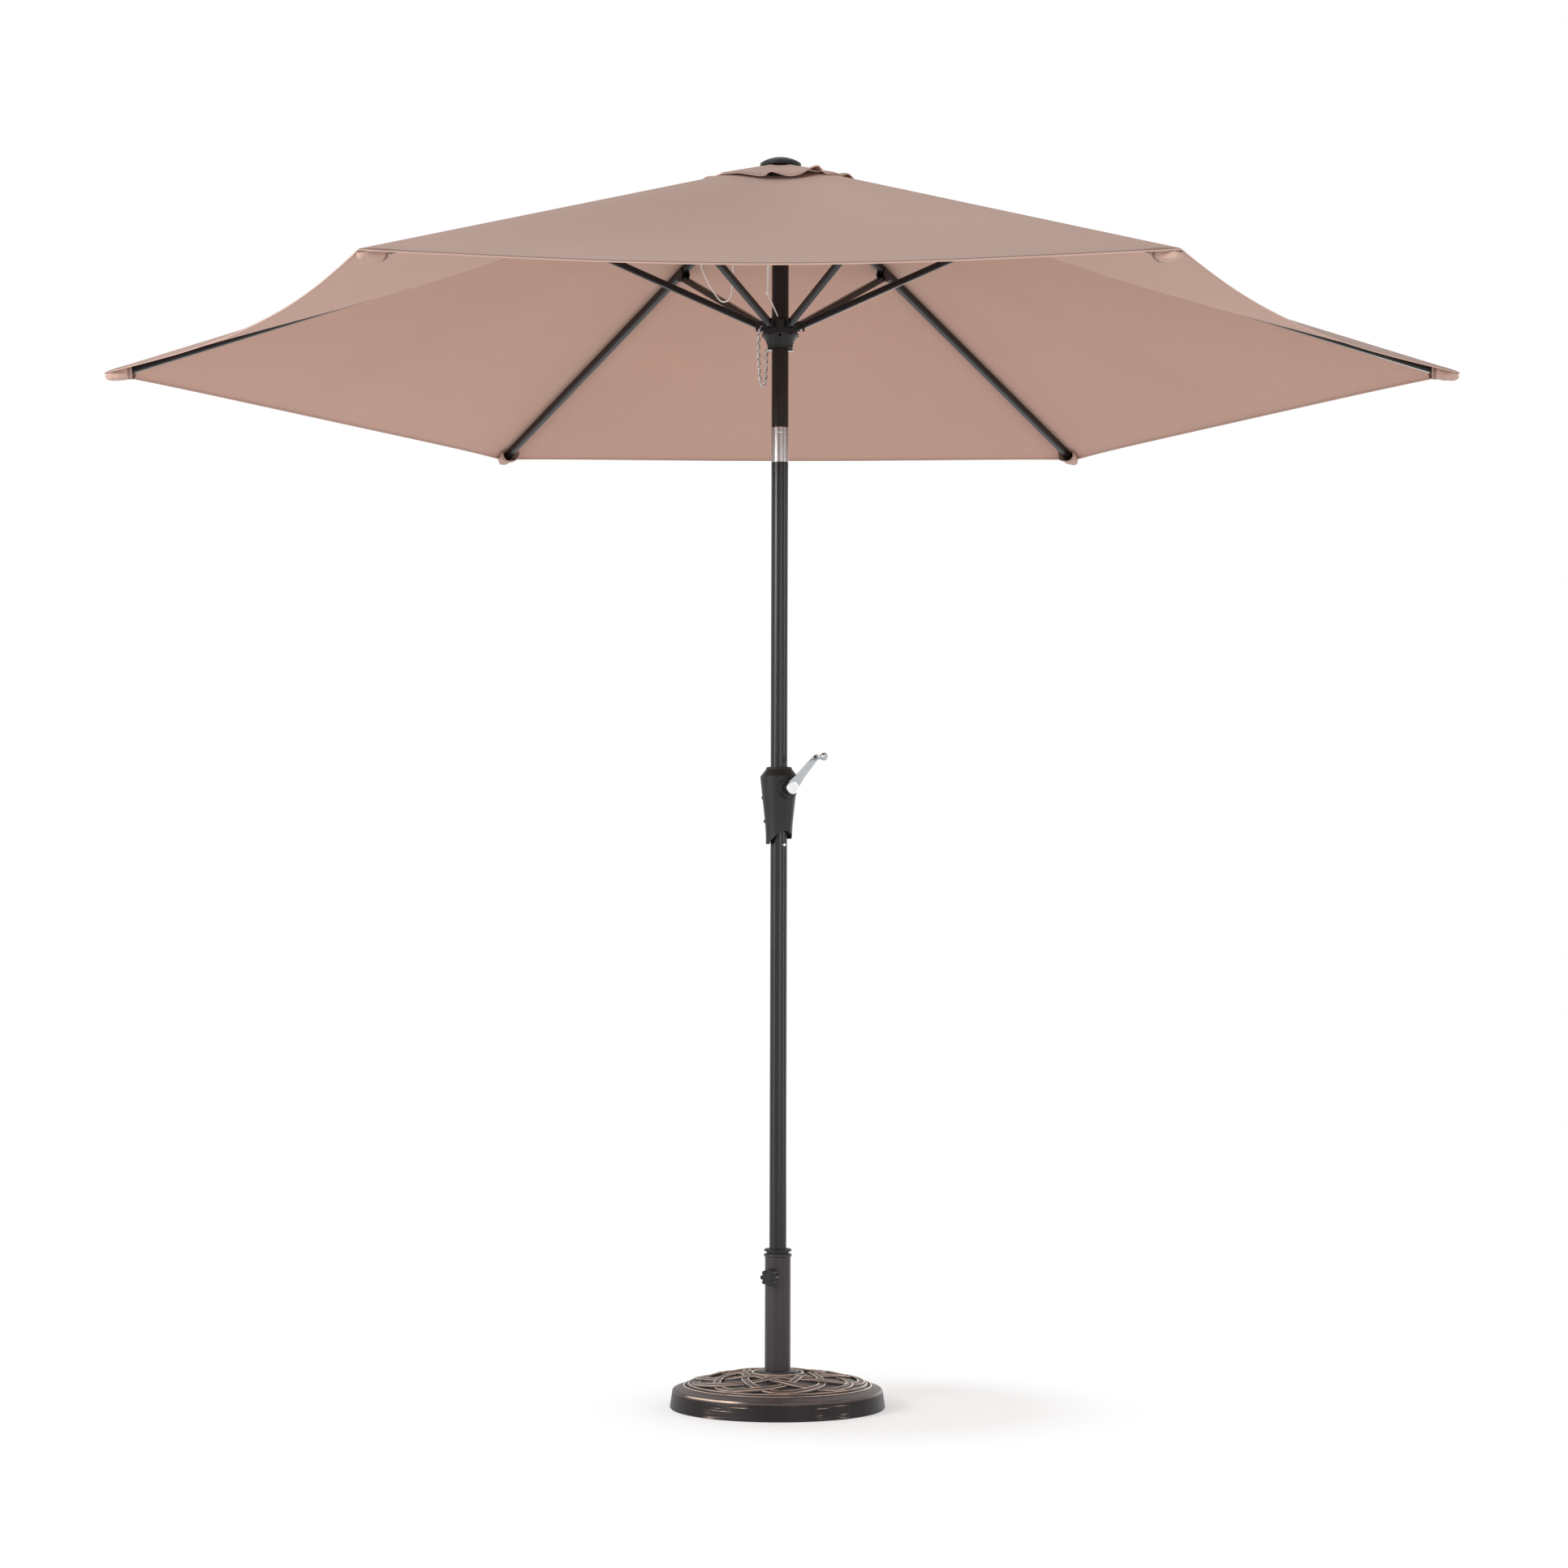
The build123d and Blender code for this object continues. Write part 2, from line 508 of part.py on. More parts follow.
def make_crank_housing():
    axis = outward(CRANK_AZIMUTH)
    neck = 26.0
    neck_top = 1266.0
    shoulder = 37.5
    shoulder_height = 1247.0
    skirt = 26.0
    taper_foot = 1150.0
    skirt_top = 1128.0
    bottom = 1112.0
    wall = 2.6
    grip = POLE_RADIUS + 0.06
    body = turned(outline(
        (grip, neck_top), (neck - 1.5, neck_top), (neck, neck_top - 1.5), (neck, neck_top - 4),
        (shoulder - 1.2, shoulder_height + 1.6), (shoulder, shoulder_height - 1.2),
        (skirt + 1.2, taper_foot),
        (skirt, skirt_top), (skirt, bottom), (skirt - wall, bottom), (skirt - wall, skirt_top + 4),
        (grip, taper_foot - 10)))
    cavity = turned(outline(
        (grip - 1, neck_top - 8), (neck - 3, neck_top - 8), (shoulder - wall, shoulder_height - 2),
        (skirt - wall + 1, taper_foot), (grip - 1, taper_foot - 4)))
    boss_radius = 20.0
    boss_start = 20.0
    boss_end = 41.0
    boss = rod(crank_point(boss_start), axis, boss_radius, boss_end - boss_start)
    body += boss - upright(grip + 2, CRANK_HEIGHT - 2 * boss_radius, CRANK_HEIGHT + 2 * boss_radius)
    body -= cavity
    body -= rod(crank_point(0), axis, SHAFT_RADIUS + 0.4, 2 * boss_end)
    arch_radius = 25.7
    body -= rod(compass(SNAP_AZIMUTH, bottom + 1), outward(SNAP_AZIMUTH), arch_radius, 4 * skirt)
    slant_azimuth = 35.0
    slant_rise = 6.0
    slant = Plane(origin=(0, 0, bottom + slant_rise),
                  z_dir=Vector(0, 0, skirt) - outward(slant_azimuth) * slant_rise)
    body -= slant * Box(4 * skirt, 4 * skirt, 4 * slant_rise, align=(Align.CENTER, Align.CENTER, Align.MAX))
    seam = Plane(origin=(0, 0, 0), x_dir=(0, 0, 1), z_dir=axis)
    front = split(body, bisect_by=seam, keep=Keep.TOP)
    rear = split(body, bisect_by=seam, keep=Keep.BOTTOM)
    screw_radius = 1.5
    screw_length = 17.0
    screw_back = -14.0
    post_radius = 4.0
    screws = []
    for height, post_offset in ((1158.0, 22.5), (1205.0, 27.5)):
        near = rod(compass(CRANK_AZIMUTH, height, 0), axis, 2 * shoulder, shoulder)
        far = rod(compass(CRANK_AZIMUTH, height, 0), axis * -1, 2 * shoulder, shoulder)
        for side in (-1, 1):
            offset = outward(CRANK_AZIMUTH + 90) * (side * post_offset)
            start = compass(CRANK_AZIMUTH, height, screw_back) + offset
            post = rod(start - axis * 1.5, axis, post_radius, screw_length + 5)
            hole = rod(start, axis, screw_radius + 0.1, screw_length + 1)
            front = front + (post & near) - hole
            rear = rear + (post & far) - hole
            screws.append(rod(start + axis * 0.5, axis, screw_radius, screw_length))
    save("crank_housing_front", front)
    save("crank_housing_rear", rear)
    save("housing_screws", *screws)


# Top of the mast

def make_top_hub():
    hub_radius = 42.0
    hub_bottom = HUB_PIVOT_HEIGHT - 14
    hub_top = HUB_PIVOT_HEIGHT + 8.5
    boss_top = VENT_CAP_TOP - 0.2
    collar = 23.5
    collar_bottom = 2385.0
    roof = 1.5
    slot_depth = 40.0
    edge = 2.5
    slot_half = BLADE_WIDTH / 2 + 0.6
    slot_inner = 22.0
    disc = upright(hub_radius, hub_bottom, hub_top)
    hub = chamfer(disc.edges().sort_by(Axis.Z)[-1], edge) + upright(collar, collar_bottom, hub_bottom)
    hub += upright(20.0, hub_top, boss_top)
    hub -= upright(POLE_RADIUS + 0.05, collar_bottom - 1, TOP_POLE_END)
    pin_radius = 2.0
    pin_length = 17.0
    pins = []
    for index in range(RIB_COUNT):
        turn = Rot(0, 0, RIB_STEP * index)
        slot = Box(30, 2 * slot_half, slot_depth, align=(Align.MIN, Align.CENTER, Align.MAX))
        hub -= turn * Pos(slot_inner, 0, hub_top - roof) * slot
        hub -= turn * Pos(*HUB_PIVOT) * cross_bar(pin_radius + PIN_PLAY, pin_length + 0.4)
        pins.append(turn * Pos(*HUB_PIVOT) * cross_bar(pin_radius, pin_length))
    pulley = compass(PULLEY_AZIMUTH, PULLEY_HEIGHT, PULLEY_OFFSET)
    tangent = outward(PULLEY_AZIMUTH + 90)
    radial = outward(PULLEY_AZIMUTH)
    cavity_radius = 21.5
    cavity_half = 4.6
    hub -= rod(pulley - tangent * cavity_half, tangent, cavity_radius, 2 * cavity_half)
    cord_exit = Plane(origin=pulley + radial * PULLEY_CORD_RADIUS, x_dir=radial, z_dir=(0, 0, -1))
    hub -= cord_exit * Box(14, 6, 70, align=MIDDLE_MIDDLE_LOW)
    hub -= rod(pulley - radial * PULLEY_CORD_RADIUS - (0, 0, 40), (0, 0, 1), CORD_RADIUS + 1, 40)
    axle_radius = 2.5
    axle_half = 14.0
    hub -= rod(pulley - tangent * (axle_half + 0.2), tangent, axle_radius + 0.02, 2 * axle_half + 0.4)
    save("top_hub", hub)
    save("hub_pins", *pins)
    save("pulley_axle", rod(pulley - tangent * axle_half, tangent, axle_radius, 2 * axle_half))
    wheel_radius = 19.5
    wheel = Cylinder(wheel_radius, 8) - Torus(wheel_radius, 3.6) - Cylinder(axle_radius + PIN_PLAY, 20)
    save("cord_pulley", Plane(origin=pulley, z_dir=tangent) * wheel)

    finial_radius = 41.5
    finial_bottom = VENT_CAP_TOP + CLOTH + 0.2
    finial_top = 2494.0
    dome_rise = 12.5
    dome_edge = finial_radius - 0.5
    dome_sphere = (dome_edge ** 2 + dome_rise ** 2) / (2 * dome_rise)
    half_way = dome_edge / 2
    dome_middle = finial_top - dome_sphere + (dome_sphere ** 2 - half_way ** 2) ** 0.5
    dome_foot = (dome_edge, finial_top - dome_rise)
    finial = turned(
        Polyline((0, finial_top), (0, finial_bottom), (finial_radius - 1.5, finial_bottom),
                 (finial_radius, finial_bottom + 1.5), dome_foot).edges()
        + ThreePointArc(dome_foot, (half_way, dome_middle), (0, finial_top)).edges()
    )
    finial += upright(6.0, boss_top, finial_bottom)
    save("finial", finial)


def cloth_height(corner_radius):
    """Height of the canopy's underside at a six-sided ring given by its corner radius."""
    return CLOTH_AT_HUB - (corner_radius - HUB_PIVOT_RADIUS) * RIB_SLOPE


def cloth_half(side, inner, outer, inner_height, outer_height, cut, sag, inner_sag, gap):
    """Half of a cloth panel, from the rib at azimuth 0 to the panel's middle line.

    Towards the middle line the hem draws in by the cut, and both edges drop by their sags.
    """
    half_step = radians(RIB_STEP / 2)
    middle = Vector(cos(half_step), side * sin(half_step), 0)
    to_rib = Vector(middle.Y, -middle.X, 0) * side
    slope = (inner_height - outer_height) / ((outer - inner) * cos(half_step))
    rise = Vector(0, 0, CLOTH)
    sections = []
    for share in (0, 1 / 3, 2 / 3, 1):
        bow = 1 - (1 - share) ** 2

        def point(radius, height):
            beside = radius * sin(half_step) * (1 - share) + gap * share
            return middle * (radius * cos(half_step)) + to_rib * beside + Vector(0, 0, height)

        near = point(inner, inner_height - inner_sag * bow ** 2)
        drop = sag * bow ** 2 - cut * slope * bow
        hem = point(outer, outer_height - drop) - middle * (cut * bow)
        sections.append(make_face(outline(near, hem, hem + rise, near + rise)))
    return loft(sections)


def make_vent_cap():
    inner = 40.0
    cap = extrude(Pos(0, 0, VENT_CAP_TOP) * RegularPolygon(inner, RIB_COUNT), CLOTH)
    cap -= upright(6.3, VENT_CAP_TOP - 5, VENT_CAP_TOP + 5)
    for index in range(RIB_COUNT):
        for side in (-1, 1):
            half = cloth_half(side, inner, VENT_CAP_RADIUS, VENT_CAP_TOP, VENT_CAP_RIM,
                              0, VENT_CAP_SAG, 0, 0)
            cap += Rot(0, 0, RIB_STEP * index) * half
    save("vent_cap", cap)


def make_canopy():
    left, right = [
        cloth_half(side, VENT_OPENING, CANOPY_RADIUS, cloth_height(VENT_OPENING), RIM_HEIGHT,
                   HEM_CUT, HEM_SAG, OPENING_SAG, PANEL_GAP)
        for side in (1, -1)
    ]
    panel = left + right
    for index in range(RIB_COUNT):
        save(f"canopy_panel_{index + 1}", Rot(0, 0, RIB_STEP * index) * panel)


# Folding frame

def make_ribs():
    tube_end = RIB_LENGTH - TIP_LENGTH
    rib = bar(BLADE_REACH, tube_end, RIB_WIDTH, RIB_HEIGHT, RIB_CORNER)
    rib -= bar(BLADE_REACH + RIB_PLUG, tube_end + 1, RIB_WIDTH - 2 * RIB_WALL, RIB_HEIGHT - 2 * RIB_WALL,
               RIB_CORNER - RIB_WALL)
    blade = Box(BLADE_REACH + 5, BLADE_WIDTH, BLADE_HEIGHT, align=(Align.MIN, Align.CENTER, Align.CENTER))
    rib += blade + cross_bar(BLADE_HEIGHT / 2, BLADE_WIDTH)
    rib -= cross_bar(2.0 + PIN_PLAY, 3 * BLADE_WIDTH)
    ear_inside = STRUT_WIDTH / 2 + SIDE_PLAY
    ear_length = 26.0
    ear_top = 3.0
    ear_radius = 8.0
    for side in (-1, 1):
        place = Pos(BRACKET_REACH, side * (ear_inside + EAR_THICKNESS / 2 - 0.05), 0)
        plate = Box(ear_length, EAR_THICKNESS, ear_top + BRACKET_DROP)
        plate = Pos(0, 0, (ear_top - BRACKET_DROP) / 2) * plate
        foot = Pos(0, 0, -BRACKET_DROP) * cross_bar(ear_radius, EAR_THICKNESS)
        rib += place * (plate + foot)
    pin_place = Pos(BRACKET_REACH, 0, -BRACKET_DROP)
    rib -= pin_place * cross_bar(STRUT_PIN_RADIUS + PIN_PLAY, 60)
    pin = pin_place * cross_bar(STRUT_PIN_RADIUS, 2 * (ear_inside + EAR_THICKNESS) + 2)
    tip = bar(tube_end, RIB_LENGTH, RIB_WIDTH, RIB_HEIGHT, RIB_CORNER)
    tip = fillet(tip.faces().sort_by(Axis.X)[-1].edges(), 3.0)
    frame = Plane(origin=HUB_PIVOT, x_dir=RIB_DIRECTION, z_dir=RIB_NORMAL)
    for index in range(RIB_COUNT):
        turn = Rot(0, 0, RIB_STEP * index)
        save(f"rib_{index + 1}", turn * (frame * rib), turn * (frame * pin), turn * (frame * tip))


def make_struts():
    reach = STRUT_LENGTH
    wall = 1.2
    plug = 26.0
    eye = STRUT_HEIGHT / 2
    strut = bar(0, reach, STRUT_WIDTH, STRUT_HEIGHT, 3.0)
    strut -= bar(plug, reach - plug, STRUT_WIDTH - 2 * wall, STRUT_HEIGHT - 2 * wall, 1.8)
    strut += cross_bar(eye, STRUT_WIDTH) + Pos(reach, 0, 0) * cross_bar(eye, STRUT_WIDTH)
    strut -= cross_bar(STRUT_PIN_RADIUS + PIN_PLAY, 2 * STRUT_WIDTH)
    strut += Pos(reach, 0, 0) * cross_bar(STRUT_PIN_RADIUS, STRUT_WIDTH + 7)
    along = (RUNNER_PIN - BRACKET_PIN).normalized()
    frame = Plane(origin=BRACKET_PIN, x_dir=along, z_dir=along.cross(Vector(0, 1, 0)))
    for index in range(RIB_COUNT):
        save(f"strut_{index + 1}", Rot(0, 0, RIB_STEP * index) * (frame * strut))


def make_runner():
    runner = turned(
        Polyline((RUNNER_BORE, FLARE_BOTTOM), (FLARE_NECK, FLARE_BOTTOM)).edges()
        + ThreePointArc((FLARE_NECK, FLARE_BOTTOM), (29.0, 2122.5), (FLARE_RIM, FLARE_TOP - 3)).edges()
        + Polyline((FLARE_RIM, FLARE_TOP - 3), (FLARE_RIM, FLARE_TOP), (RUNNER_COLLAR, FLARE_TOP),
                   (RUNNER_COLLAR, RUNNER_TOP - 6), (26.0, RUNNER_TOP), (RUNNER_BORE, RUNNER_TOP),
                   (RUNNER_BORE, FLARE_BOTTOM)).edges()
    )
    ear_inside = STRUT_WIDTH / 2 + SIDE_PLAY
    ear_thickness = 3.0
    ear_start = 31.0
    ear_end = 49.0
    ear_bottom = 2143.5
    ear_height = 17.0
    hook = STRUT_PIN_RADIUS + 0.35
    hook_width = 2 * (ear_inside + ear_thickness) + 2
    seat_depth = 34.3
    outward_up = (Align.MIN, Align.CENTER, Align.MIN)
    for index in range(RIB_COUNT):
        turn = Rot(0, 0, RIB_STEP * index)
        for side in (-1, 1):
            ear = Box(ear_end - ear_start, ear_thickness, ear_height, align=outward_up)
            runner += turn * Pos(ear_start, side * (ear_inside + ear_thickness / 2), ear_bottom) * ear
        way_down = Box(2 * hook, hook_width, 2 * ear_height, align=(Align.CENTER, Align.CENTER, Align.MAX))
        runner -= turn * Pos(*RUNNER_PIN) * (way_down + cross_bar(hook, hook_width))
        seat = Box(FLARE_RIM, 2 * ear_inside, RUNNER_TOP - FLARE_BOTTOM, align=outward_up)
        runner -= turn * Pos(seat_depth, 0, FLARE_TOP - 20) * seat
    runner -= upright(RUNNER_BORE, FLARE_BOTTOM - 1, RUNNER_TOP + 1)
    key = Box(2 * (SAFETY_PIN_HALF + 0.6), 2 * (SAFETY_PIN_RADIUS + 0.4), 200)
    runner -= Pos(0, 0, RUNNER_PIVOT_HEIGHT) * Rot(0, 0, SAFETY_PIN_AZIMUTH) * key
    hole_azimuth = 270.0
    hole_radius = 2.6
    runner -= rod(compass(hole_azimuth, FLARE_TOP - 7), outward(hole_azimuth), hole_radius, 2 * FLARE_RIM)
    save("runner", runner)
    pin = rod(compass(SAFETY_PIN_AZIMUTH, SAFETY_PIN_HEIGHT, -SAFETY_PIN_HALF), outward(SAFETY_PIN_AZIMUTH),
              SAFETY_PIN_RADIUS, 2 * SAFETY_PIN_HALF)
    save("safety_pin", fillet(pin.edges().filter_by(GeomType.CIRCLE), 0.8))


# Cords and chain

def make_cords():
    inside = compass(PULLEY_AZIMUTH + 180, 0, CORD_LINE)
    outside = compass(PULLEY_AZIMUTH, 0, PULLEY_OFFSET + PULLEY_CORD_RADIUS)
    lower_top = TILT_PIVOT - 15
    lower_foot = CRANK_HEIGHT + 1
    save("lower_cord", rod(inside + (0, 0, lower_foot), (0, 0, 1), CORD_RADIUS, lower_top - lower_foot))
    crest = compass(PULLEY_AZIMUTH, PULLEY_HEIGHT + PULLEY_CORD_RADIUS, PULLEY_OFFSET)
    at_pulley = Vector(0, 0, PULLEY_HEIGHT)
    knot = Vector(-25, -13.5, 2216)
    knot_radius = 4.0
    tie = Vector(-4.2, -27.5, RUNNER_TOP + 1)
    bend = outside + (0, 0, PULLEY_HEIGHT - 50)
    drop = [outside + at_pulley, bend, knot + (bend - knot).normalized() * knot_radius]
    radii = easy_radii(drop)
    path = Wire(
        Line(inside + (0, 0, TILT_PIVOT + 10), inside + at_pulley).edges()
        + ThreePointArc(inside + at_pulley, crest, outside + at_pulley).edges()
        + FilletPolyline(*drop, radius=radii).edges()
    )
    print("lift_cord", "length", round(path.length + (tie - knot).length, 1), "radii", radii)
    tail_end = Vector(-26, -20.3, HUB_PIVOT_HEIGHT - 15)
    strands = [swept(path, CORD_RADIUS), Pos(*knot) * Sphere(knot_radius)]
    for end in (tie, tail_end):
        along = (end - knot).normalized()
        start = knot + along * knot_radius
        strands.append(rod(start, along, CORD_RADIUS, (end - start).length))
    save("lift_cord", *strands)
    save("slack_cord", routed("slack_cord", SLACK_ROUTE, CORD_RADIUS))
    save("pin_chain", routed("pin_chain", CHAIN_ROUTE, CHAIN_RADIUS))


os.makedirs("parts", exist_ok=True)
make_base()
make_base_tube()
make_tube_bushing()
make_clamp()
make_pole()
make_snap_button()
make_tilt_joint()
make_crank()
make_crank_housing()
make_top_hub()
make_vent_cap()
make_canopy()
make_ribs()
make_struts()
make_runner()
make_cords()
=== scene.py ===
"""Patio umbrella: a six-sided vented cloth canopy on a tilting mast with a crank, standing in a cast base."""

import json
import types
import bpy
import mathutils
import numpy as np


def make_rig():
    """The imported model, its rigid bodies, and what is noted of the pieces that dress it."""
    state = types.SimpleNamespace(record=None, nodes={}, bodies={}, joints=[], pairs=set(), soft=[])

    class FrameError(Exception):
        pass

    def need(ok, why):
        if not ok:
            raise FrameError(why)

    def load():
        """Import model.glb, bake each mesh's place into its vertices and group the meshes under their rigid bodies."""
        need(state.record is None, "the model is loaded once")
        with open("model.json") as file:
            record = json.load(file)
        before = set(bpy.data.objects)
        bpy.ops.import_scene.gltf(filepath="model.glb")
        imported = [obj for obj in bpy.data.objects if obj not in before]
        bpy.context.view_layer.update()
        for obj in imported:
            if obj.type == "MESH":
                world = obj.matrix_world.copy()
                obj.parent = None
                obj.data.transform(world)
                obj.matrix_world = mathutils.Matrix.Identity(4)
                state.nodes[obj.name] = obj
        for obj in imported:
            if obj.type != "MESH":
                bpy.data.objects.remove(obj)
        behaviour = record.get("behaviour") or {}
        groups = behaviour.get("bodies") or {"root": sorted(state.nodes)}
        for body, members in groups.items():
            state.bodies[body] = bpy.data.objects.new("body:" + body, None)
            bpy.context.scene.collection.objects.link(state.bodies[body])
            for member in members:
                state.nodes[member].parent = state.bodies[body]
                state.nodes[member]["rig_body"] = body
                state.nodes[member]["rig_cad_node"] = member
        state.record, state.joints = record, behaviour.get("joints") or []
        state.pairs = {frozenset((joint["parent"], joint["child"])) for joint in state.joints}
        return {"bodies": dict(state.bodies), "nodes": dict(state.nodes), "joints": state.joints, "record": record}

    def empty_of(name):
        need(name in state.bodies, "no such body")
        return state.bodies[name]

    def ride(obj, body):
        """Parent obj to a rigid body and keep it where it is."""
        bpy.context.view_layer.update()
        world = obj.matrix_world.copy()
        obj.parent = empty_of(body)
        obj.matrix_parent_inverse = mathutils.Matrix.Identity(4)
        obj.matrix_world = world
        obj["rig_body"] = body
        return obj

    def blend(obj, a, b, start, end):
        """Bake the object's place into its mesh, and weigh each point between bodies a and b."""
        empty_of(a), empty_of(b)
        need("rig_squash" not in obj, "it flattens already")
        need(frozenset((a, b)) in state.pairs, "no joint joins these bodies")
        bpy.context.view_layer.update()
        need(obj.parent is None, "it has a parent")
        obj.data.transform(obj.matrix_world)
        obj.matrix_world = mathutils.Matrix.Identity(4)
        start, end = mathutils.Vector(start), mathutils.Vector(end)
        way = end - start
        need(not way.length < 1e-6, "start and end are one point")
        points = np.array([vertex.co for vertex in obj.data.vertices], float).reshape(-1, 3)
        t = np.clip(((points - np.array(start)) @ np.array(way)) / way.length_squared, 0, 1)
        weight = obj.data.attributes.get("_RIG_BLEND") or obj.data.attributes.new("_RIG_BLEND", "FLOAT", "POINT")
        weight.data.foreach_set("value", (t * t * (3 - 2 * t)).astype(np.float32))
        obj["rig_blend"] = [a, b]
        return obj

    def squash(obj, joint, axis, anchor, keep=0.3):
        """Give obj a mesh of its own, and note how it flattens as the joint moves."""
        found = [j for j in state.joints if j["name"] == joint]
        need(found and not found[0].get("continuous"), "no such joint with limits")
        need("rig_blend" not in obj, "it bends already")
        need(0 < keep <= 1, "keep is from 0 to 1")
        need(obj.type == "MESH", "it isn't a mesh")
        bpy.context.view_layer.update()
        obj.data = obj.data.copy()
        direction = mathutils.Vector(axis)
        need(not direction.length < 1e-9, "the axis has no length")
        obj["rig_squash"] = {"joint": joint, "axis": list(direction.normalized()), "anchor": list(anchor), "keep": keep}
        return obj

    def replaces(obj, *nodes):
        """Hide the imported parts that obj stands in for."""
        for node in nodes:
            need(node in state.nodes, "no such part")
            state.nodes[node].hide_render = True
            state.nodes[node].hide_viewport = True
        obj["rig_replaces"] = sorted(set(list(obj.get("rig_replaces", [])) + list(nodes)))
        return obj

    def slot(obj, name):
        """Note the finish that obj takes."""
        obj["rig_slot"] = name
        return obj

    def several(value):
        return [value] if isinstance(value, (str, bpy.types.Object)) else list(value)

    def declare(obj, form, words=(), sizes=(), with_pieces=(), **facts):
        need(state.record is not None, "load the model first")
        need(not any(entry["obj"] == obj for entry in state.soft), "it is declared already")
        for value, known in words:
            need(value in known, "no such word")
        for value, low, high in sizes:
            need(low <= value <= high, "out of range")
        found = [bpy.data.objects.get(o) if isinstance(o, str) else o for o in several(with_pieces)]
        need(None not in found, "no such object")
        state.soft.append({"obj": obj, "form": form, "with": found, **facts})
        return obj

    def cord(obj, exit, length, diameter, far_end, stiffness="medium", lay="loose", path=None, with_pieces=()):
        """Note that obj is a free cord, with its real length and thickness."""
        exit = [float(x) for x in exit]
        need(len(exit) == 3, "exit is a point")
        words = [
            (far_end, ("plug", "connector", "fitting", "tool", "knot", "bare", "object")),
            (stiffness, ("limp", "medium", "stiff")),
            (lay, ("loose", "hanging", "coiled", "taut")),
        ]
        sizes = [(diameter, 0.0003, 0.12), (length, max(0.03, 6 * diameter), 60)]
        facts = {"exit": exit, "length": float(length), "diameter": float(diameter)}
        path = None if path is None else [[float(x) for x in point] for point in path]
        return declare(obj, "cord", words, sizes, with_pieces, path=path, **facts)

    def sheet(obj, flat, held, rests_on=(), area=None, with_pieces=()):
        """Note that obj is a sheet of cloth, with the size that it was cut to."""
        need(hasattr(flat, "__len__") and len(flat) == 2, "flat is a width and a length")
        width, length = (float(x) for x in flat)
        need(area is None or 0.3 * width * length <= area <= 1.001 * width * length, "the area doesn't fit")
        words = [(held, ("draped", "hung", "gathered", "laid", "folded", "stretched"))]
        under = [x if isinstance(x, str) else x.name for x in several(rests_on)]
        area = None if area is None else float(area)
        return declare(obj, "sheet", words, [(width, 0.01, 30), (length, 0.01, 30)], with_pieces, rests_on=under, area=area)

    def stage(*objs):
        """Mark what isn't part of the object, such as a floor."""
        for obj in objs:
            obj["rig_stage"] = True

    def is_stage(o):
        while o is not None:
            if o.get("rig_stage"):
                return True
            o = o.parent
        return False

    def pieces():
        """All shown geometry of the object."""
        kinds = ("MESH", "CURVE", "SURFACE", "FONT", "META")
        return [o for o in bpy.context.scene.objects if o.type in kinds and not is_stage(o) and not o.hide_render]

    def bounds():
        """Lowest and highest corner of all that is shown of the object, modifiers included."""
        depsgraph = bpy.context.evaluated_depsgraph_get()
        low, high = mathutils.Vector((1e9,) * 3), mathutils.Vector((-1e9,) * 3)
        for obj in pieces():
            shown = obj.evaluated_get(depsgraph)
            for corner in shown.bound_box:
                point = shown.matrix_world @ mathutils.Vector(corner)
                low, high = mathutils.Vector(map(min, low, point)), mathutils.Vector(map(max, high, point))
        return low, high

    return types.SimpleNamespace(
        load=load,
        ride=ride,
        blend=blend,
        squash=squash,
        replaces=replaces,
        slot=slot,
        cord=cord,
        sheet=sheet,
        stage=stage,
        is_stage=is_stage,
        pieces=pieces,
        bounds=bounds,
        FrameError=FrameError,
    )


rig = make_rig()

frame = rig.load()

import json
from math import atan2, copysign, cos, degrees, exp, hypot, pi, radians, sin, sqrt

import bmesh
import bpy
from bpy.props import FloatProperty, FloatVectorProperty, IntProperty, PointerProperty
from mathutils import Matrix, Vector, noise

bl_info = {
    "name": "Patio umbrella",
    "version": (1, 0, 0),
    "blender": (4, 5, 0),
    "location": "View3D > Sidebar > Umbrella",
    "description": "Dresses the umbrella's frame with its cloth, cords, casting and finishes",
    "category": "Object",
}

CAD_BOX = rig.bounds()
RIB_COUNT = 6
RIB_STEP = 2 * pi / RIB_COUNT
HALF_STEP = RIB_STEP / 2
MM = 0.001


def linear(code):
    """Linear colour of a screen colour written as six hex digits."""
    levels = [int(code[place:place + 2], 16) / 255 for place in (0, 2, 4)]
    return tuple(v / 12.92 if v <= 0.04045 else ((v + 0.055) / 1.055) ** 2.4 for v in levels)


def smooth_step(low, high, value):
    share = min(1.0, max(0.0, (value - low) / (high - low)))
    return share * share * (3 - 2 * share)


# Settings


def length(name, description, default):
    return FloatProperty(name=name, description=description, default=default, unit="LENGTH", precision=4)


def colour(name, description, code):
    return FloatVectorProperty(name=name, description=description, subtype="COLOR", default=linear(code))


